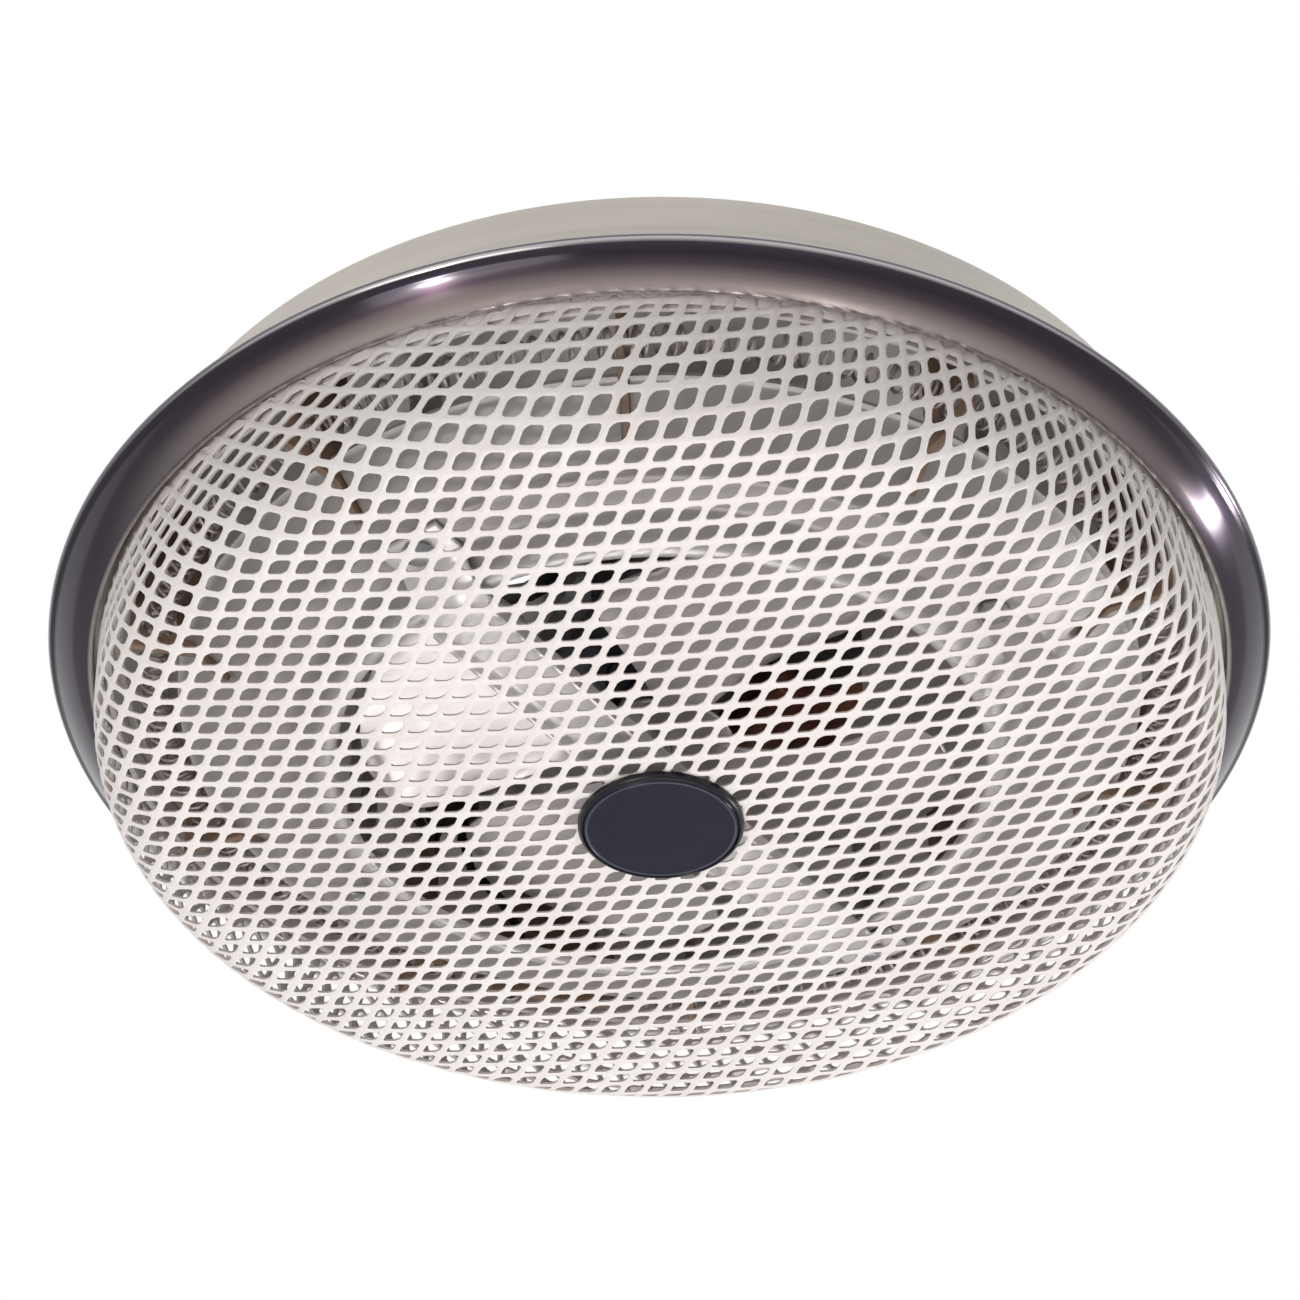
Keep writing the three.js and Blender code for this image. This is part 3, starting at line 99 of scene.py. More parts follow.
# Radii in the ring lists are in millimetres. On dark_chrome the ring colours are a painted reflection,
# and the side list is the painted reflection shown where the surface turns away from the view.
finishes = {
    "satin_steel": dict(
        colour=(0.694, 0.65, 0.582), tint=(0.616, 0.571, 0.515), metallic=0.45, rough=0.42,
        grain=(6, 6, 900), grainDepth=0.25, patch=14, bump=0.12),
    "dark_chrome": dict(
        colour=(1.0, 1.0, 1.0), tint=(0.88, 0.86, 0.88), metallic=1.0, rough=0.20,
        grain=(5, 5, 500), grainDepth=0.10, patch=9, bump=0.02,
        # Painted reflection: pale by the inner lip, dark towards the outer edge, and a painted highlight
        # line on the rolled edge.
        rings=[(130.4, (0.80, 0.74, 0.71)), (131.3, (0.64, 0.57, 0.54)), (134.0, (0.36, 0.30, 0.285)),
               (137.0, (0.075, 0.050, 0.068)), (138.6, (0.018, 0.010, 0.025)),
               (140.4, (0.025, 0.016, 0.031)), (140.8, (0.52, 0.50, 0.50))],
        # Painted reflection where the trim turns away from the view: dark all across except at the lip.
        paintedSideReflection=[(130.4, (0.62, 0.57, 0.55)), (131.0, (0.56, 0.51, 0.50)),
                   (131.7, (0.05, 0.035, 0.055)), (134.5, (0.030, 0.018, 0.036)),
                   (138.5, (0.020, 0.012, 0.025)),
                   (140.3, (0.024, 0.016, 0.030)), (140.8, (0.10, 0.09, 0.11))],
        sideFrom=0.11, sideTo=0.34, coat=0.9, brushed=0.85),
    "galvanised": dict(
        colour=(0.50, 0.51, 0.50), tint=(0.38, 0.39, 0.39), metallic=0.7, rough=0.48,
        grain=(120, 120, 120), grainDepth=0.3, patch=60, bump=0.08),
    "bright_aluminium": dict(
        colour=(0.66, 0.62, 0.62), tint=(0.56, 0.53, 0.53), metallic=0.75, rough=0.34,
        grain=(260, 260, 260), grainDepth=0.2, patch=30, bump=0.06),
    "plate_finish": dict(
        colour=(0.92, 0.92, 0.92), tint=(0.92, 0.92, 0.92), metallic=0.5, rough=0.4,
        grain=(160, 160, 160), grainDepth=0.15, patch=22, bump=0.06,
        # Painted highlight: a pale line on the orifice lip and on the plate's outer edge, darker
        # between.
        rings=[(73.0, (0.86, 0.84, 0.82)), (77.0, (0.80, 0.78, 0.76)), (79.5, (0.46, 0.435, 0.42)),
               (100.0, (0.44, 0.415, 0.40)), (109.0, (0.42, 0.40, 0.385)), (110.8, (0.60, 0.58, 0.56))]),
    "strap_aluminium": dict(
        colour=(0.90, 0.88, 0.87), tint=(0.80, 0.78, 0.77), metallic=0.3, rough=0.32,
        grain=(300, 300, 300), grainDepth=0.12, patch=40, bump=0.05),
    "painted_net": dict(
        colour=(0.796, 0.76, 0.741), tint=(0.741, 0.695, 0.676), metallic=0.0, rough=0.42,
        grain=(900, 900, 900), grainDepth=0.1, patch=35, bump=0.05),
    "mica": dict(
        colour=(0.446, 0.297, 0.203), tint=(0.27, 0.176, 0.121), metallic=0.0, rough=0.7,
        grain=(400, 400, 60), grainDepth=0.5, patch=120, bump=0.25),
    "element_wire": dict(
        colour=(0.575, 0.525, 0.488), tint=(0.375, 0.325, 0.3), metallic=0.7, rough=0.45,
        grain=(700, 700, 700), grainDepth=0.2, patch=200, bump=0.1),
    "laminations": dict(
        colour=(0.16, 0.165, 0.18), tint=(0.10, 0.10, 0.11), metallic=0.6, rough=0.5,
        grain=(30, 30, 2200), grainDepth=0.5, patch=60, bump=0.5),
    "winding": dict(
        colour=(0.50, 0.21, 0.12), tint=(0.26, 0.10, 0.06), metallic=0.35, rough=0.42,
        grain=(20, 1600, 20), grainDepth=0.4, patch=70, bump=0.5),
    "cast_bracket": dict(
        colour=(0.55, 0.55, 0.55), tint=(0.44, 0.44, 0.44), metallic=0.8, rough=0.46,
        grain=(380, 380, 380), grainDepth=0.3, patch=60, bump=0.18),
    "bronze": dict(
        colour=(0.36, 0.24, 0.12), tint=(0.28, 0.18, 0.09), metallic=0.9, rough=0.42,
        grain=(500, 500, 500), grainDepth=0.3, patch=200, bump=0.15),
    "steel": dict(
        colour=(0.52, 0.53, 0.54), tint=(0.42, 0.43, 0.44), metallic=0.95, rough=0.3,
        grain=(500, 500, 500), grainDepth=0.2, patch=150, bump=0.06),
    "brass": dict(
        colour=(0.60, 0.45, 0.20), tint=(0.48, 0.35, 0.15), metallic=0.95, rough=0.3,
        grain=(500, 500, 500), grainDepth=0.2, patch=150, bump=0.06),
    "dark_plastic": dict(
        colour=(0.009, 0.009, 0.013), tint=(0.006, 0.006, 0.010), metallic=0.0, rough=0.25,
        grain=(900, 900, 900), grainDepth=0.1, patch=80, bump=0.03, sheen=0.35),
    "medallion_face": dict(
        colour=(0.011, 0.012, 0.022), tint=(0.008, 0.009, 0.018), metallic=0.0, rough=0.22,
        grain=(800, 800, 800), grainDepth=0.1, patch=60, bump=0.02, sheen=0.25,
        rings=[(0.0, (1, 1, 1)), (16.5, (1, 1, 1)), (16.65, (7, 6.5, 5.5)), (17.0, (7, 6.5, 5.5)),
               (17.15, (1, 1, 1)), (18.0, (1, 1, 1))]),
    "pan_inside": dict(
        colour=(0.882, 0.851, 0.809), tint=(0.798, 0.766, 0.724), metallic=0.15, rough=0.45,
        grain=(90, 90, 90), grainDepth=0.12, patch=22, bump=0.08),
    "phenolic": dict(
        colour=(0.035, 0.026, 0.022), tint=(0.025, 0.018, 0.015), metallic=0.0, rough=0.5,
        grain=(600, 600, 600), grainDepth=0.2, patch=120, bump=0.1),
    "white_lead": dict(
        colour=(0.80, 0.78, 0.72), tint=(0.72, 0.70, 0.63), metallic=0.0, rough=0.55,
        grain=(500, 500, 500), grainDepth=0.15, patch=100, bump=0.06),
    "black_lead": dict(
        colour=(0.020, 0.020, 0.022), tint=(0.014, 0.014, 0.015), metallic=0.0, rough=0.5,
        grain=(500, 500, 500), grainDepth=0.15, patch=100, bump=0.06),
    "bushing": dict(
        colour=(0.022, 0.022, 0.023), tint=(0.015, 0.015, 0.016), metallic=0.0, rough=0.6,
        grain=(400, 400, 400), grainDepth=0.2, patch=100, bump=0.08),
}


def addNode(tree, kind, place, **values):
    made = tree.nodes.new(kind)
    made.location = place
    for key, value in values.items():
        made.inputs[key].default_value = value
    return made


# Colours by distance from the heater's axis.
def ringRamp(tree, stops, distance, place):
    low, high = stops[0][0] * mm, stops[-1][0] * mm
    share = addNode(tree, "ShaderNodeMapRange", (place[0] - 200, place[1]))
    share.inputs["From Min"].default_value = low
    share.inputs["From Max"].default_value = high
    ramp = addNode(tree, "ShaderNodeValToRGB", place)
    tree.links.new(distance, share.inputs["Value"])
    tree.links.new(share.outputs["Result"], ramp.inputs["Fac"])
    marks = ramp.color_ramp.elements
    while len(marks) < len(stops):
        marks.new(0.5)
    for mark, (radius, colour) in zip(marks, stops):
        mark.position = (radius * mm - low) / (high - low)
        mark.color = (*colour, 1)
    return ramp.outputs["Color"]


# Ring colours by distance from the heater's axis, times the surface tone: painted reflection on the
# trim, a painted highlight on the plate and a pale ring on the medallion face.
def addRings(tree, look, coords, tone):
    apart = addNode(tree, "ShaderNodeSeparateXYZ", (-900, 500))
    flat = addNode(tree, "ShaderNodeCombineXYZ", (-740, 500))
    length = addNode(tree, "ShaderNodeVectorMath", (-580, 500))
    length.operation = "LENGTH"
    tree.links.new(coords.outputs["Object"], apart.inputs[0])
    tree.links.new(apart.outputs["X"], flat.inputs["X"])
    tree.links.new(apart.outputs["Y"], flat.inputs["Y"])
    tree.links.new(flat.outputs[0], length.inputs[0])
    shown = ringRamp(tree, look["rings"], length.outputs["Value"], (-200, 500))
    # Painted reflection: the side colours take over where the surface turns away from the view.
    if "paintedSideReflection" in look:
        paintedSideTone = ringRamp(tree, look["paintedSideReflection"], length.outputs["Value"], (-200, 800))
        facing = addNode(tree, "ShaderNodeLayerWeight", (-420, 1050), Blend=0.5)
        side = addNode(tree, "ShaderNodeMapRange", (-200, 1050))
        side.interpolation_type = "SMOOTHSTEP"
        side.inputs["From Min"].default_value = look["sideFrom"]
        side.inputs["From Max"].default_value = look["sideTo"]
        tree.links.new(facing.outputs["Facing"], side.inputs["Value"])
        blend = addNode(tree, "ShaderNodeMix", (50, 600))
        blend.data_type = "RGBA"
        tree.links.new(side.outputs["Result"], blend.inputs["Factor"])
        tree.links.new(shown, blend.inputs[6])
        tree.links.new(paintedSideTone, blend.inputs[7])
        shown = blend.outputs[2]
    both = addNode(tree, "ShaderNodeMix", (250, 400))
    both.data_type = "RGBA"
    both.blend_type = "MULTIPLY"
    both.inputs["Factor"].default_value = 1.0
    tree.links.new(shown, both.inputs[6])
    tree.links.new(tone, both.inputs[7])
    return both.outputs[2]


# A brushed surface, whose highlights are drawn out away from the heater's axis.
def brush(tree, depth, coords, shader):
    apart = addNode(tree, "ShaderNodeSeparateXYZ", (-300, -500))
    outward = addNode(tree, "ShaderNodeCombineXYZ", (-120, -500))
    tree.links.new(coords.outputs["Object"], apart.inputs[0])
    tree.links.new(apart.outputs["X"], outward.inputs["X"])
    tree.links.new(apart.outputs["Y"], outward.inputs["Y"])
    unit = addNode(tree, "ShaderNodeVectorMath", (60, -500))
    unit.operation = "NORMALIZE"
    tree.links.new(outward.outputs[0], unit.inputs[0])
    tree.links.new(unit.outputs[0], shader.inputs["Tangent"])
    shader.inputs["Anisotropic"].default_value = depth


def makeFinish(name, look):
    material = bpy.data.materials.new(name)
    material.use_nodes = True
    tree = material.node_tree
    shader = tree.nodes["Principled BSDF"]
    shader.inputs["Metallic"].default_value = look["metallic"]
    shader.inputs["Coat Weight"].default_value = look.get("coat", 0.0)
    shader.inputs["Coat Roughness"].default_value = surface["coatRoughness"]
    shader.inputs["Specular IOR Level"].default_value = look.get("sheen", 0.5)
    coords = addNode(tree, "ShaderNodeTexCoord", (-1100, 0))
    grainMap = addNode(tree, "ShaderNodeMapping", (-900, -150), Scale=look["grain"])
    grain = addNode(tree, "ShaderNodeTexNoise", (-700, -150), Scale=1.0, Detail=surface["grainDetail"])
    patches = addNode(tree, "ShaderNodeTexNoise", (-700, 200), Scale=look["patch"],
                      Detail=surface["patchDetail"])
    tree.links.new(coords.outputs["Object"], grainMap.inputs["Vector"])
    tree.links.new(grainMap.outputs["Vector"], grain.inputs["Vector"])
    tree.links.new(coords.outputs["Object"], patches.inputs["Vector"])
    ramp = addNode(tree, "ShaderNodeValToRGB", (-480, 200))
    ramp.color_ramp.elements[0].position = surface["patchFrom"]
    ramp.color_ramp.elements[1].position = surface["patchTo"]
    ramp.color_ramp.elements[0].color = (*look["tint"], 1)
    ramp.color_ramp.elements[1].color = (*look["colour"], 1)
    tree.links.new(patches.outputs["Fac"], ramp.inputs["Fac"])
    shade = addNode(tree, "ShaderNodeMix", (-200, 200))
    shade.data_type = "RGBA"
    shade.blend_type = "MULTIPLY"
    shade.inputs["Factor"].default_value = 1.0
    tree.links.new(ramp.outputs["Color"], shade.inputs[6])
    grey = addNode(tree, "ShaderNodeMapRange", (-480, -50))
    grey.inputs["To Min"].default_value = look["rough"] - surface["roughSpread"]
    grey.inputs["To Max"].default_value = look["rough"] + surface["roughSpread"]
    tree.links.new(grain.outputs["Fac"], grey.inputs["Value"])
    tree.links.new(grey.outputs["Result"], shader.inputs["Roughness"])
    level = addNode(tree, "ShaderNodeMapRange", (-350, 60))
    level.inputs["To Min"].default_value = 1 - look["grainDepth"]
    level.inputs["To Max"].default_value = 1.0
    tree.links.new(grain.outputs["Fac"], level.inputs["Value"])
    tree.links.new(level.outputs["Result"], shade.inputs[7])
    tone = shade.outputs[2]
    if "rings" in look:
        tone = addRings(tree, look, coords, tone)
    if "brushed" in look:
        brush(tree, look["brushed"], coords, shader)
    tree.links.new(tone, shader.inputs["Base Color"])
    bump = addNode(tree, "ShaderNodeBump", (-200, -250), Strength=look["bump"],
                   Distance=surface["bumpHeight"])
    tree.links.new(grain.outputs["Fac"], bump.inputs["Height"])
    tree.links.new(bump.outputs["Normal"], shader.inputs["Normal"])
    return material


materials = {name: makeFinish(name, look) for name, look in finishes.items()}
print("finishes made:", len(materials))


def dress(piece, slotName):
    piece.data.materials.clear()
    piece.data.materials.append(materials[slotName])
    for face in piece.data.polygons:
        face.material_index = 0


# ---- ways of making pieces


def selectNone():
    if bpy.context.object and bpy.context.object.mode != "OBJECT":
        bpy.ops.object.mode_set(mode="OBJECT")
    bpy.ops.object.select_all(action="DESELECT")


def makeActive(piece):
    selectNone()
    piece.select_set(True)
    bpy.context.view_layer.objects.active = piece


def smooth(piece, angle=35):
    makeActive(piece)
    bpy.ops.object.shade_smooth_by_angle(angle=math.radians(angle))


def applyModifier(piece, kind, **values):
    makeActive(piece)
    modifier = piece.modifiers.new(kind.lower(), kind)
    for key, value in values.items():
        setattr(modifier, key, value)
    bpy.ops.object.modifier_apply(modifier=modifier.name)


def settle(piece, name, slotName, body, replaced=()):
    makeActive(piece)
    bpy.ops.object.transform_apply(location=True, rotation=True, scale=True)
    piece.name = name
    piece.data.name = name
    dress(piece, slotName)
    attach(piece, body)
    if replaced:
        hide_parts(*replaced)
    return piece


# A profile of (radius, height) points in millimetres, turned round the heater's axis.
def turnPiece(profile, steps, closed=True):
    selectNone()
    radius, height = profile[0]
    bpy.ops.mesh.primitive_circle_add(
        vertices=steps, radius=radius * mm, location=(0, 0, 0), fill_type="NOTHING")
    piece = bpy.context.object
    bpy.ops.object.mode_set(mode="EDIT")
    bpy.ops.mesh.select_all(action="SELECT")
    bpy.ops.transform.translate(value=(0, 0, height * mm))
    for nextRadius, nextHeight in profile[1:]:
        bpy.ops.mesh.extrude_edges_move()
        ratio = nextRadius / radius
        bpy.ops.transform.resize(value=(ratio, ratio, 1), center_override=(0, 0, 0))
        bpy.ops.transform.translate(value=(0, 0, (nextHeight - height) * mm))
        radius, height = nextRadius, nextHeight
    bpy.ops.mesh.select_all(action="DESELECT")
    bpy.ops.mesh.select_non_manifold(extend=False)
    if closed:
        bpy.ops.mesh.bridge_edge_loops()
    else:
        bpy.ops.mesh.fill_holes(sides=0)
    bpy.ops.mesh.select_all(action="SELECT")
    bpy.ops.mesh.normals_make_consistent(inside=False)
    bpy.ops.object.mode_set(mode="OBJECT")
    return piece


def arc(centreR, centreZ, radiusR, radiusZ, start, end, steps):
    points = []
    for i in range(steps + 1):
        angle = math.radians(start + (end - start) * i / steps)
        points.append((centreR + radiusR * math.cos(angle), centreZ + radiusZ * math.sin(angle)))
    return points


def polar(radius, azimuth, height=0.0):
    angle = math.radians(azimuth)
    return Vector((radius * math.cos(angle), radius * math.sin(angle), height)) * mm


def cutRod(radius, place, depth=4, sides=32):
    selectNone()
    bpy.ops.mesh.primitive_cylinder_add(
        vertices=sides, radius=radius * mm, depth=depth * mm, location=place)
    return bpy.context.object


def cutBox(sizes, place, azimuth):
    selectNone()
    bpy.ops.mesh.primitive_cube_add(size=1, location=place, rotation=(0, 0, math.radians(azimuth)))
    made = bpy.context.object
    made.scale = [size * mm for size in sizes]
    return made


def cutAway(piece, cutters):
    for cutter in cutters:
        makeActive(piece)
        modifier = piece.modifiers.new("cut", "BOOLEAN")
        modifier.operation = "DIFFERENCE"
        modifier.solver = "EXACT"
        modifier.object = cutter
        bpy.ops.object.modifier_apply(modifier=modifier.name)
        bpy.data.objects.remove(cutter)


# A CAD node's own shape, merged, with eased edges.
def refine(nodeName, ease=0.25, angle=35, segments=2):
    source = nodes[nodeName]
    piece = source.copy()
    piece.data = source.data.copy()
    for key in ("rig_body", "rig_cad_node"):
        if key in piece:
            del piece[key]
    piece.parent = None
    scene.collection.objects.link(piece)
    makeActive(piece)
    bpy.ops.object.mode_set(mode="EDIT")
    bpy.ops.mesh.select_all(action="SELECT")
    bpy.ops.mesh.remove_doubles(threshold=1e-6)
    bpy.ops.mesh.tris_convert_to_quads(face_threshold=math.radians(1), shape_threshold=math.radians(40))
    bpy.ops.object.mode_set(mode="OBJECT")
    if ease:
        applyModifier(piece, "BEVEL", width=ease * mm, segments=segments, limit_method="ANGLE",
                      angle_limit=math.radians(angle), use_clamp_overlap=True)
    smooth(piece, angle)
    return settle(piece, nodeName + "_fine", slotOf[nodeName], source["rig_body"], [nodeName])


# ---- ceiling pan

pan = {
    "radius": 124.9, "depth": 29.0, "draft": 0.2, "corner": 1.8, "flange": 11.0, "sheet": 0.8,
    "steps": 160, "slotScrew": 5.2, "slotHead": 9.6, "slotRing": 44.45, "slotAzimuth": 100,
    "wireHole": 11.1, "wireRing": 37.0, "wireAzimuth": -165, "postRing": 89.0, "postAzimuth": 55,
    "postHole": 2.9, "motorHole": 2.4, "motorOffset": 20.0, "motorAzimuth": 25,
    "tabRing": 113.0, "tabAzimuth": -93.6, "tabSlot": (6.8, 2.4, 4.0), "boardRing": 112.5,
    "boardAzimuth": 104.4, "boardSlot": (2.4, 14.8, 4.0), "trimScrewRing": 133.8, "trimHole": 1.9,
    "posts": 4, "tabs": 10, "trimScrews": 3, "middleGap": 0.5, "flatInset": 6, "flangeBend": 0.9,
    "flangeEdge": 0.3, "holeThrough": 6,
}


def makePan(p):
    low = p["radius"] + p["draft"]
    top = p["radius"] - p["corner"]
    flangeTop = -p["depth"] + p["sheet"]
    outer = [(p["middleGap"], 0.0), (top - p["flatInset"], 0.0)]
    outer += arc(top, -p["corner"], p["corner"], p["corner"], 90, 0, 8)
    outer += [(low - 0.08, flangeTop + 1.2)]
    bend = p["flangeBend"]
    outer += arc(low + bend, flangeTop + bend, bend, bend, 180, 270, 4)
    outer += [(low + p["flange"] - p["flangeEdge"], flangeTop), (low + p["flange"], flangeTop - 0.25)]
    outer += [(low + p["flange"], flangeTop - p["sheet"] + 0.2)]
    inner = [(low + p["flange"] - p["flangeEdge"], -p["depth"]), (low - p["sheet"] + 0.4, -p["depth"])]
    inner += [(low - p["sheet"], -p["depth"] + 0.5)]
    rim = p["corner"] - p["sheet"]
    inner += arc(top, -p["corner"], rim, rim, 0, 90, 6)
    inner += [(top - p["flatInset"], -p["sheet"]), (p["middleGap"], -p["sheet"])]
    piece = turnPiece(outer + inner, p["steps"], closed=False)
    through = p["holeThrough"]
    cutters = [cutRod(p["wireHole"], polar(p["wireRing"], p["wireAzimuth"]), through, 48)]
    for side in (0, 180):
        azimuth = p["slotAzimuth"] + side
        centre = polar(p["slotRing"], azimuth)
        run = p["slotHead"] / 2 + p["slotScrew"]
        across = polar(1, p["slotAzimuth"] + 90) / mm
        middle = centre + across * run / 2 * mm
        cutters.append(cutBox((p["slotScrew"], run, through), middle, p["slotAzimuth"]))
        cutters.append(cutRod(p["slotHead"] / 2, centre + across * run * mm, through + 0.2, 32))
        cutters.append(cutRod(p["slotScrew"] / 2, centre, through + 0.4, 24))
    for i in range(p["posts"]):
        place = polar(p["postRing"], p["postAzimuth"] + 360 / p["posts"] * i)
        cutters.append(cutRod(p["postHole"], place, through, 24))
    for side in (-1, 1):
        place = polar(side * p["motorOffset"], p["motorAzimuth"] + 90)
        cutters.append(cutRod(p["motorHole"], place, through, 24))
    for i in range(p["tabs"]):
        azimuth = p["tabAzimuth"] + 360 / p["tabs"] * i
        cutters.append(cutBox(p["tabSlot"], polar(p["tabRing"], azimuth), azimuth))
    cutters.append(cutBox(p["boardSlot"], polar(p["boardRing"], p["boardAzimuth"]), p["boardAzimuth"]))
    for i in range(p["trimScrews"]):
        azimuth = 90 + 360 / p["trimScrews"] * i
        hole = polar(p["trimScrewRing"], azimuth, -p["depth"] + p["sheet"] / 2)
        cutters.append(cutRod(p["trimHole"], hole, 3, 20))
    cutAway(piece, cutters)
    smooth(piece, 25)
    settle(piece, "pan_shell", "satin_steel", "housing", ["ceiling_pan"])
    piece.data.materials.append(materials["pan_inside"])
    for face in piece.data.polygons:
        middle = face.center / mm
        inside = math.hypot(middle.x, middle.y) < p["radius"] - p["sheet"] / 2
        if inside and middle.z < -p["sheet"] / 2:
            face.material_index = 1


makePan(pan)
print("ceiling pan made")

# ---- trim ring

trim = {
    "edge": 141.1, "lip": 130.4, "lipDrop": 7.9, "rimDrop": 1.5, "bead": 1.3, "bulge": 0.9,
    "panDepth": 29.0, "sheet": 0.8, "hidden": 6.2, "steps": 192, "screwRing": 133.8, "hole": 1.9,
    "screws": 3, "seat": 0.3, "lipRound": 0.9, "faceSteps": 12,
}


def makeTrim(t):
    lipZ = -t["panDepth"] - t["lipDrop"]
    rimZ = -t["panDepth"] - t["rimDrop"]
    under = -t["panDepth"] - t["seat"]
    bead = t["edge"] - t["bead"]
    startR, startZ = t["lip"] + t["lipRound"], lipZ + 0.02
    endR, endZ = bead - 0.1, rimZ - t["bead"]
    face = []
    for i in range(t["faceSteps"] + 1):
        share = i / t["faceSteps"]
        sag = 4 * share * (1 - share) * t["bulge"]
        face.append((startR + (endR - startR) * share, startZ + (endZ - startZ) * share - sag))
    edge = arc(bead, rimZ, t["bead"], t["bead"], -70, 150, 10)
    backFace = [(r - 0.25, z + t["sheet"]) for r, z in reversed(face[1:-1])]
    outline = [(t["lip"] + t["hidden"], under), (t["lip"] + 0.4, under)]
    outline += [(t["lip"], under - 0.4), (t["lip"], lipZ + 0.7), (t["lip"] + 0.25, lipZ + 0.2)]
    outline += face + edge + backFace
    outline += [(t["lip"] + 1.0, lipZ + 1.3), (t["lip"] + t["sheet"], under - 1.4)]
    outline += [(t["lip"] + 1.2, under - t["sheet"]), (t["lip"] + t["hidden"], under - t["sheet"])]
    piece = turnPiece(outline, t["steps"])
    apart = 360 / t["screws"]
    middle = under - t["sheet"] / 2
    places = [polar(t["screwRing"], 90 + apart * i, middle) for i in range(t["screws"])]
    cutAway(piece, [cutRod(t["hole"], place, 3, 20) for place in places])
    smooth(piece, 40)
    settle(piece, "trim_band", "dark_chrome", "housing", ["trim_ring"])


makeTrim(trim)
print("trim ring made")

# ---- air guide plate

guide = {
    "orifice": 73.8, "drop": 58.6, "lip": 3.4, "landInner": 84.0, "landOuter": 94.0,
    "landDrop": 53.0, "edge": 110.8, "edgeDrop": 40.3, "hem": 1.6, "sheet": 0.9, "steps": 144,
    "screwRing": 89.0, "screwAzimuth": 55, "screwHole": 2.2,
    "slotStart": 99.6, "slotWidth": 2.4, "supportAzimuth": -93.6,
    "boardRing": 112.5, "boardAzimuth": 104.4, "boardWidth": 36.0,
    "screws": 4, "supports": 10, "collar": 2.2, "collarLean": 0.6, "bend": 1.2, "spare": 4,
}


# A bent line of points with its corners eased into short curves.
def eased(points, reach):
    made = [points[0]]
    for before, here, after in zip(points, points[1:], points[2:]):
        a, b, c = Vector(before), Vector(here), Vector(after)
        inward = min(reach, (a - b).length * 0.45)
        outward = min(reach, (c - b).length * 0.45)
        start = b + (a - b).normalized() * inward
        end = b + (c - b).normalized() * outward
        for share in (0.0, 0.33, 0.67, 1.0):
            point = start * (1 - share) ** 2 + b * 2 * share * (1 - share) + end * share ** 2
            made.append(tuple(point))
    made.append(points[-1])
    return made


# The other face of a sheet whose one face runs through the points.
def otherFace(points, thickness):
    offset = []
    for i, point in enumerate(points):
        a = Vector(points[max(i - 1, 0)])
        b = Vector(points[min(i + 1, len(points) - 1)])
        along = (b - a).normalized()
        offset.append((point[0] - along.y * thickness, point[1] + along.x * thickness))
    return offset


def makeGuide(g):
    line = [
        (g["orifice"], -g["drop"] + g["collar"]), (g["orifice"] + g["collarLean"], -g["drop"]),
        (g["orifice"] + g["lip"], -g["drop"]), (g["landInner"], -g["landDrop"]),
        (g["landOuter"], -g["landDrop"]), (g["edge"] - g["hem"], -g["edgeDrop"]),
        (g["edge"], -g["edgeDrop"]),
    ]
    line = eased(line, g["bend"])
    outline = line + list(reversed(otherFace(line, g["sheet"])))
    piece = turnPiece(outline, g["steps"])
    cutters = []
    for i in range(g["screws"]):
        place = polar(g["screwRing"], g["screwAzimuth"] + 360 / g["screws"] * i, -g["landDrop"])
        cutters.append(cutRod(g["screwHole"], place, 5, 20))
    length = g["edge"] - g["slotStart"] + g["spare"]
    height = g["drop"] - g["edgeDrop"] + g["spare"]
    middle = -(g["drop"] + g["edgeDrop"] - g["spare"]) / 2
    for i in range(g["supports"]):
        azimuth = g["supportAzimuth"] + 360 / g["supports"] * i
        place = polar(g["slotStart"] + length / 2, azimuth, middle)
        cutters.append(cutBox((length, g["slotWidth"], height), place, azimuth))
    place = polar(g["boardRing"], g["boardAzimuth"], -g["drop"] / 2)
    cutters.append(cutBox((6, g["boardWidth"], g["drop"]), place, g["boardAzimuth"]))
    cutAway(piece, cutters)
    smooth(piece, 30)
    settle(piece, "guide_plate", "plate_finish", "housing", ["orifice_plate"])


makeGuide(guide)
print("air guide plate made")

# ---- fan blades

fan = {
    "root": 13.0, "tip": 69.5, "azimuth": 19.0, "count": 4, "sheet": 1.0, "drop": 49.2,
    "rise": 6.4, "tipSpan": 66.0, "rootSpan": 42.0, "disc": 17.0, "bore": 2.8, "rows": 16, "columns": 14,
    "cornerFrom": 0.72, "cornerCut": 0.42, "crown": 1.5, "tipRound": 3.0, "ease": 0.25,
}


# One blade: rows of points from the disc to the tip, each turned and lifted more than the last.
def makeBladeSheet(f):
    selectNone()
    bpy.ops.mesh.primitive_grid_add(
        x_subdivisions=f["rows"], y_subdivisions=f["columns"], size=2, location=(0, 0, 0))
    blade = bpy.context.object
    for point in blade.data.vertices:
        u = (point.co.x + 1) / 2
        v = point.co.y
        radius = f["root"] + (f["tip"] - f["root"]) * u
        past = max(0, u - f["cornerFrom"]) / (1 - f["cornerFrom"])
        corner = 1 - past ** 3 * f["cornerCut"]
        span = (f["rootSpan"] + (f["tipSpan"] - f["rootSpan"]) * min(1, 1.5 * u)) * corner
        lift = f["rise"] * math.sin(min(1, u * 1.8) * math.pi / 2)
        crown = f["crown"] * u * (1 - v * v)
        radius -= f["tipRound"] * u ** 6 * abs(v) ** 3
        point.co = polar(radius, span / 2 * v, -f["drop"] + lift * v + crown)
    applyModifier(blade, "SOLIDIFY", thickness=f["sheet"] * mm, offset=0.0)
    return blade


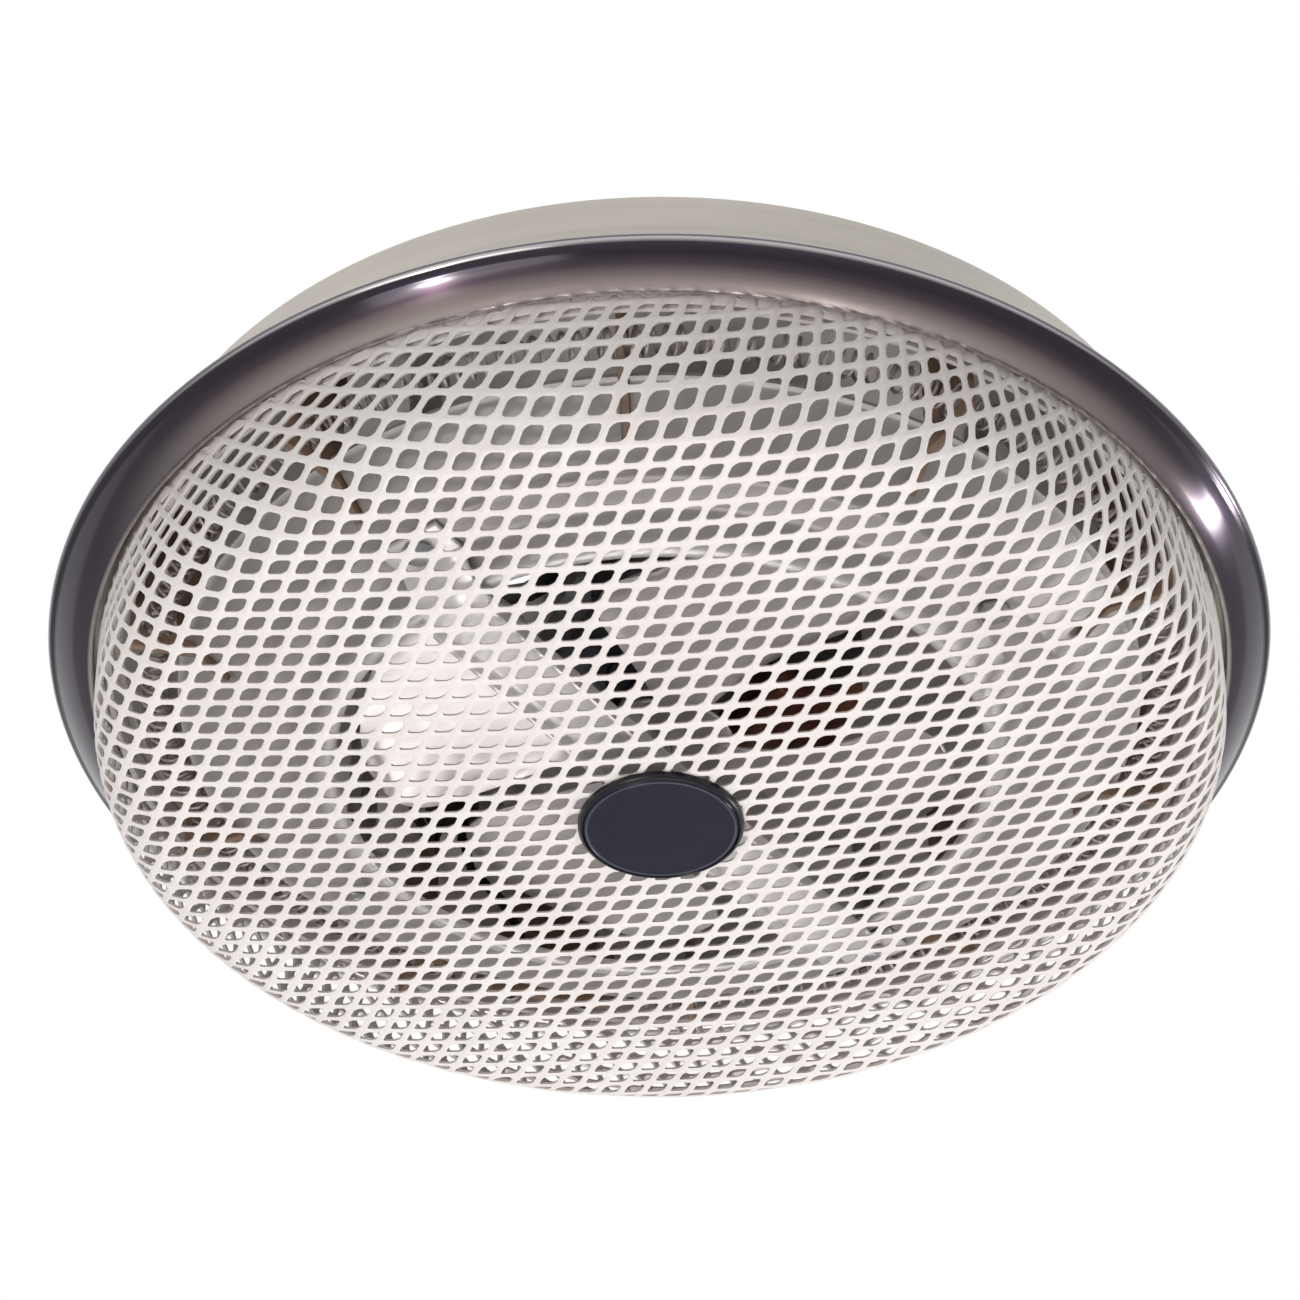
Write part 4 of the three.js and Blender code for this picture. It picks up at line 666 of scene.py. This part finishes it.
def makeFan(f):
    blades = []
    first = makeBladeSheet(f)
    for i in range(f["count"]):
        blade = first.copy()
        blade.data = first.data.copy()
        scene.collection.objects.link(blade)
        blade.rotation_euler = (0, 0, math.radians(f["azimuth"] + 360 / f["count"] * i))
        blades.append(blade)
    bpy.data.objects.remove(first)
    half = f["sheet"] / 2 + 0.05
    disc = turnPiece([
        (f["bore"], -f["drop"] + half), (f["disc"] - 0.3, -f["drop"] + half),
        (f["disc"], -f["drop"] + half - 0.3), (f["disc"], -f["drop"] - half + 0.3),
        (f["disc"] - 0.3, -f["drop"] - half), (f["bore"], -f["drop"] - half)], 64)
    makeActive(disc)
    for blade in blades:
        blade.select_set(True)
    bpy.ops.object.join()
    applyModifier(disc, "BEVEL", width=f["ease"] * mm, segments=2, limit_method="ANGLE",
                  angle_limit=math.radians(60), use_clamp_overlap=True)
    smooth(disc, 35)
    settle(disc, "fan_wheel", "bright_aluminium", "fan_rotor", ["fan_blades"])


makeFan(fan)
print("fan made")

# ---- net grille

net = {
    "drop": 70.8, "faceRadius": 113.8, "faceDrop": 65.5, "radius": 127.8, "shoulderDrop": 50.0,
    "draft": 0.4, "sheet": 0.8, "pitch": 5.84, "lean": -2.57, "row": 5.56, "turn": -3.73,
    "holeWide": 0.415, "holeTall": 0.422, "sharpCorner": 0.79, "roundCorner": 0.77, "holeSide": 0.46,
    "crown": 0.3, "middle": 12.5, "hemTop": -29.3, "hemHeight": 8.2, "hemWidth": 2.2,
    "hemLap": 0.5, "intoHem": 2.6, "faceSteps": 40, "shoulderSteps": 20, "hemSteps": 160,
}


def domeLine(n):
    points = []
    for i in range(n["faceSteps"] + 1):
        share = i / n["faceSteps"]
        points.append((n["faceRadius"] * share, -n["drop"] + (n["drop"] - n["faceDrop"]) * share ** 2))
    points += arc(n["faceRadius"], -n["shoulderDrop"], n["radius"] - n["faceRadius"],
                  n["faceDrop"] - n["shoulderDrop"], -90, 0, n["shoulderSteps"])[1:]
    points.append((n["radius"] + n["draft"], n["hemTop"] - n["hemHeight"]))
    points.append((n["radius"] + n["draft"], n["hemTop"]))
    runs = [0.0]
    for a, b in zip(points, points[1:]):
        runs.append(runs[-1] + math.dist(a, b))
    return points, runs


# A flat point, wrapped on the dome by its distance from the middle and its azimuth.
def wrapPoint(point, points, runs, reach):
    run = min(math.hypot(point.x, point.y) / mm, reach)
    azimuth = math.atan2(point.y, point.x)
    i = 1
    while i < len(runs) - 1 and runs[i] < run:
        i += 1
    length = runs[i] - runs[i - 1]
    share = (run - runs[i - 1]) / length
    (r0, z0), (r1, z1) = points[i - 1], points[i]
    out = point.z / mm
    radius = r0 + (r1 - r0) * share + (z1 - z0) / length * out
    height = z0 + (z1 - z0) * share - (r1 - r0) / length * out
    return Vector((radius * math.cos(azimuth), radius * math.sin(azimuth), height)) * mm


# One cell of the net: twelve points on a leaning frame, and twelve round its round-cornered hole.
def makeCell(n):
    selectNone()
    bpy.ops.mesh.primitive_circle_add(
        vertices=12, radius=1, location=(0, 0, 0), rotation=(0, 0, math.radians(15)),
        fill_type="NOTHING")
    cell = bpy.context.object
    bpy.ops.object.transform_apply(rotation=True)
    bpy.ops.object.mode_set(mode="EDIT")
    bpy.ops.mesh.select_all(action="SELECT")
    bpy.ops.mesh.extrude_edges_move()
    bpy.ops.transform.resize(value=(2, 2, 1), center_override=(0, 0, 0))
    bpy.ops.object.mode_set(mode="OBJECT")
    wide, tall, side = n["holeWide"], n["holeTall"], n["holeSide"]
    hole = {15: (wide, tall * side), 45: (wide, tall), 75: (wide * side, tall)}
    frameSpots = {15: (1 / 2, 1 / 6), 45: (1 / 2, 1 / 2), 75: (1 / 6, 1 / 2)}
    for point in cell.data.vertices:
        x, y = point.co.x, point.co.y
        angle = round(math.degrees(math.atan2(abs(y), abs(x))))
        onFrame = point.co.length > 1.5
        s, t = frameSpots[angle] if onFrame else hole[angle]
        if angle == 45 and not onFrame:
            corner = n["sharpCorner"] if x * y < 0 else n["roundCorner"]
            s, t = s * corner, t * corner
        s, t = math.copysign(s, x), math.copysign(t, y)
        height = n["crown"] if onFrame else 0.0
        point.co = Vector((s * n["pitch"] + t * n["lean"], t * n["row"], height)) * mm
    return cell


def makeNet(n):
    points, runs = domeLine(n)
    hemRun = runs[-2]
    reach = hemRun + n["intoHem"]
    cell = makeCell(n)
    rows = int(2 * reach / n["row"]) + 4
    columns = int(2 * reach * (1 + abs(n["lean"]) / n["row"]) / n["pitch"]) + 4
    along = Vector((n["pitch"], 0, 0)) * mm
    up = Vector((n["lean"], n["row"], 0)) * mm
    cell.location = -along * (columns - 1) / 2 - up * (rows - 1) / 2
    makeActive(cell)
    bpy.ops.object.transform_apply(location=True)
    for offset, count in ((along, columns), (up, rows)):
        applyModifier(cell, "ARRAY", count=count, use_relative_offset=False, use_constant_offset=True,
                      constant_offset_displace=offset, use_merge_vertices=True, merge_threshold=1e-5)
    turn = Matrix.Rotation(math.radians(n["turn"]), 4, "Z")
    cell.data.transform(turn)
    makeActive(cell)
    bpy.ops.object.mode_set(mode="EDIT")
    bpy.ops.mesh.select_all(action="DESELECT")
    bpy.ops.object.mode_set(mode="OBJECT")
    for face in cell.data.polygons:
        distances = [cell.data.vertices[i].co.length / mm for i in face.vertices]
        face.select = min(distances) > reach or max(distances) < n["middle"]
    bpy.ops.object.mode_set(mode="EDIT")
    bpy.ops.mesh.delete(type="FACE")
    bpy.ops.mesh.select_all(action="SELECT")
    bpy.ops.mesh.delete_loose()
    bpy.ops.object.mode_set(mode="OBJECT")
    for point in cell.data.vertices:
        point.co = wrapPoint(point.co, points, runs, reach)
    makeActive(cell)
    bpy.ops.object.mode_set(mode="EDIT")
    bpy.ops.mesh.select_all(action="SELECT")
    bpy.ops.mesh.remove_doubles(threshold=1e-6)
    bpy.ops.mesh.dissolve_degenerate(threshold=1e-6)
    bpy.ops.mesh.normals_make_consistent(inside=False)
    bpy.ops.object.mode_set(mode="OBJECT")
    middle = cell.data.polygons[len(cell.data.polygons) // 2]
    if middle.normal.z > 0:
        cell.data.flip_normals()
    applyModifier(cell, "SOLIDIFY", thickness=n["sheet"] * mm, offset=-1.0)
    smooth(cell, 50)
    return settle(cell, "net_dome", "painted_net", "grille_body", ["grille"])


def makeHem(n):
    outer = n["radius"] + n["draft"] + n["hemLap"]
    inner = n["radius"] + n["draft"] - n["hemWidth"]
    low = n["hemTop"] - n["hemHeight"]
    slotOut = n["radius"] + n["draft"] + 0.4
    slotIn = n["radius"] + n["draft"] - n["sheet"] - 0.15
    outline = [(inner, n["hemTop"] - 0.4), (inner + 0.4, n["hemTop"]), (outer - 0.4, n["hemTop"])]
    outline += [(outer, n["hemTop"] - 0.4), (outer, low + 0.25), (outer - 0.2, low)]
    outline += [(slotOut, low), (slotOut, low + 2.9), (slotIn, low + 2.9), (slotIn, low)]
    outline += [(inner + 0.3, low), (inner, low + 0.3)]
    piece = turnPiece(outline, n["hemSteps"])
    smooth(piece, 40)
    settle(piece, "net_hem", "painted_net", "grille_body")


netDome = makeNet(net)
makeHem(net)
print("net made:", len(netDome.data.polygons), "faces")

# ---- knob and its front disc

knob = {
    "radius": 18.8, "height": 2.3, "bezel": 0.9, "hub": 5.4, "hubHeight": 5.0, "top": -71.1,
    "recess": 0.9, "bore": 4.45, "boreRoof": 0.8, "steps": 128, "gap": 0.3,
    "ringOut": 17.1, "ringIn": 16.5,
}


def makeKnob(k):
    foot = k["top"] - k["height"]
    recess = k["radius"] - k["bezel"]
    rimOut = arc(k["radius"] - 1.0, foot + 1.0, 1.0, 1.0, -90, 0, 6)
    outline = [(0.4, foot + k["recess"]), (recess, foot + k["recess"]), (recess, foot + 0.25)]
    outline += [(recess + 0.2, foot)] + rimOut
    outline += [(k["radius"], k["top"] - 0.7), (k["radius"] - 0.5, k["top"])]
    outline += [(k["hub"] + 0.5, k["top"]), (k["hub"], k["top"] + 0.5)]
    outline += [(k["hub"], k["top"] + k["hubHeight"])]
    outline += [(k["bore"], k["top"] + k["hubHeight"]), (k["bore"], foot + k["recess"] + k["boreRoof"])]
    outline += [(0.4, foot + k["recess"] + k["boreRoof"])]
    piece = turnPiece(outline, k["steps"], closed=False)
    smooth(piece, 35)
    settle(piece, "knob_body_fine", "dark_plastic", "knob_body", ["knob"])
    radius = recess - k["gap"]
    disc = [(0.4, foot - 0.3), (k["ringIn"], foot - 0.16), (k["ringIn"] + 0.12, foot + 0.02)]
    disc += [(k["ringOut"] - 0.12, foot + 0.02), (k["ringOut"], foot - 0.08)]
    disc += [(radius - 0.3, foot), (radius, foot + 0.3), (radius, foot + k["recess"] - k["gap"])]
    disc += [(0.4, foot + k["recess"] - k["gap"])]
    face = turnPiece(disc, k["steps"], closed=False)
    smooth(face, 20)
    settle(face, "knob_disc_fine", "medallion_face", "knob_body", ["medallion_disc"])


makeKnob(knob)
print("knob made")

# ---- heating coil: the wire's fine winding, from one terminal bolt round to the other

coil = {
    "ring": 116.5, "drop": 36.0, "radius": 3.1, "wire": 0.45, "turns": 230, "pointsPerTurn": 10,
    "azimuth": 104.4, "spacing": 20.0, "bolt": 2.0, "gap": 0.3, "tailTurns": 3,
}


def makeCoil(c):
    edge = math.atan2(c["spacing"] / 2 + c["bolt"] + c["gap"], c["ring"])
    start = math.radians(c["azimuth"]) + edge
    sweep = 2 * math.pi - 2 * edge
    steps = c["turns"] * c["pointsPerTurn"]
    path = bpy.data.curves.new("coil_path", "CURVE")
    path.dimensions = "3D"
    path.bevel_depth = c["wire"] * mm
    path.bevel_resolution = 1
    path.use_fill_caps = True
    line = path.splines.new("POLY")
    line.points.add(steps)
    tail = c["tailTurns"] * c["pointsPerTurn"]
    for i in range(steps + 1):
        grown = min(1, i / tail, (steps - i) / tail) * c["radius"]
        turn = 2 * math.pi * i / c["pointsPerTurn"]
        angle = start + sweep * i / steps
        radius = c["ring"] + grown * math.cos(turn)
        height = -c["drop"] + grown * math.sin(turn)
        line.points[i].co = (*polar(radius, math.degrees(angle), height), 1)
    piece = bpy.data.objects.new("coil_path", path)
    scene.collection.objects.link(piece)
    makeActive(piece)
    bpy.ops.object.convert(target="MESH")
    piece = bpy.context.object
    smooth(piece, 60)
    settle(piece, "coil_wire", "element_wire", "housing", ["element_coil"])


makeCoil(coil)
print("heating coil made")

# ---- the CAD's other nodes: eased copies of what shows, and the same finishes on the rest

easedNodes = {
    "grille_strap": 0.3, "grille_stud": 0.2, "stud_nut": 0.25, "motor_stack": 0.2,
    "motor_winding": 0.8, "motor_bracket_upper": 0.25, "motor_bracket_lower": 0.25,
    "motor_bearing_lower": 0.15, "motor_rotor": 0.15, "motor_shaft": 0.2, "fan_hub": 0.2,
    "terminal_board": 0.15, "thermal_cutout": 0.3, "thermal_cutout_cap": 0.15,
    "wire_nut_line": 0.5, "wire_nut_neutral": 0.5, "wire_bushing": 0.4,
    "grille_centre_plate": 0.15,
}
for i in range(1, 5):
    easedNodes[f"plate_post_{i}"] = 0.25
    easedNodes[f"plate_screw_{i}"] = 0.2
for i in range(1, 4):
    easedNodes[f"trim_screw_{i}"] = 0.2
for i in range(1, 11):
    easedNodes[f"element_support_{i}"] = 0.12
for i in (1, 2):
    easedNodes[f"terminal_bolt_{i}"] = 0.2
    easedNodes[f"motor_screw_{i}"] = 0.2
    easedNodes[f"motor_spacer_{i}"] = 0.15
for name in ("lead_line_to_cutout", "lead_cutout_to_element", "lead_neutral_to_element",
             "lead_motor_to_line", "lead_motor_to_neutral"):
    easedNodes[name] = 0.0
for name, ease in easedNodes.items():
    piece = refine(name, ease, 50 if name.startswith("lead") else 35)
    if name == "grille_strap":
        dress(piece, "strap_aluminium")
for name, piece in nodes.items():
    if not piece.hide_render:
        dress(piece, slotOf[name])
print("other pieces finished:", len(easedNodes))

# ---- room and light

room = {
    "floorDrop": 1.7, "floorSize": 8.0, "floorColour": (0.93, 0.93, 0.92), "floorRough": 0.8,
    "fill": 0.58, "shown": 1.0, "white": (1, 1, 1), "lampAim": (0, 0, -0.04),
}
lamps = {
    "key": dict(place=(-0.9, -1.3, -1.1), size=0.9, power=6, colour=(1.0, 0.97, 0.95)),
    "below": dict(place=(0.05, 0.52, -1.34), size=0.6, power=8, colour=(1.0, 0.96, 0.96)),
    "streak": dict(place=(1.17, 0.505, -0.72), size=0.10, length=0.55, along=(-0.43, 0.21, -0.47),
                   power=6, colour=(1.0, 0.98, 0.96)),
    "glint": dict(place=(-0.72, -0.87, -1.0), size=0.07, power=2.4, colour=(1.0, 0.97, 0.93)),
}


def makeRoom(r):
    selectNone()
    bpy.ops.mesh.primitive_plane_add(size=r["floorSize"], location=(0, 0, -r["floorDrop"]))
    floor = bpy.context.object
    floor.name = "floor"
    paint = bpy.data.materials.new("floor_paint")
    paint.use_nodes = True
    shader = paint.node_tree.nodes["Principled BSDF"]
    shader.inputs["Base Color"].default_value = (*r["floorColour"], 1)
    shader.inputs["Roughness"].default_value = r["floorRough"]
    floor.data.materials.append(paint)
    world = bpy.data.worlds.new("room")
    scene.world = world
    world.use_nodes = True
    tree = world.node_tree
    background = tree.nodes["Background"]
    rays = addNode(tree, "ShaderNodeLightPath", (-800, 0))
    seen = addNode(tree, "ShaderNodeMath", (-600, 0))
    seen.operation = "MAXIMUM"
    seenToo = addNode(tree, "ShaderNodeMath", (-400, 0))
    seenToo.operation = "MAXIMUM"
    tree.links.new(rays.outputs["Is Camera Ray"], seen.inputs[0])
    tree.links.new(rays.outputs["Is Glossy Ray"], seen.inputs[1])
    tree.links.new(seen.outputs[0], seenToo.inputs[0])
    tree.links.new(rays.outputs["Is Transmission Ray"], seenToo.inputs[1])
    strength = addNode(tree, "ShaderNodeMapRange", (-200, 0))
    strength.inputs["To Min"].default_value = r["fill"]
    strength.inputs["To Max"].default_value = r["shown"]
    tree.links.new(seenToo.outputs[0], strength.inputs["Value"])
    tree.links.new(strength.outputs["Result"], background.inputs["Strength"])
    background.inputs["Color"].default_value = (*r["white"], 1)


def makeLamp(name, lamp):
    data = bpy.data.lights.new(name, "AREA")
    data.shape = "RECTANGLE"
    data.size = lamp["size"]
    data.size_y = lamp.get("length", lamp["size"])
    data.energy = lamp["power"]
    data.color = lamp["colour"]
    made = bpy.data.objects.new(name, data)
    scene.collection.objects.link(made)
    made.location = lamp["place"]
    away = (made.location - Vector(room["lampAim"])).normalized()
    across = Vector(lamp.get("along", (0, 0, 1))).cross(away).normalized()
    made.rotation_euler = Matrix((across, away.cross(across), away)).transposed().to_euler()


makeRoom(room)
for name, lamp in lamps.items():
    makeLamp(name, lamp)
print("room and lamps set")

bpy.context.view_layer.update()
selectNone()
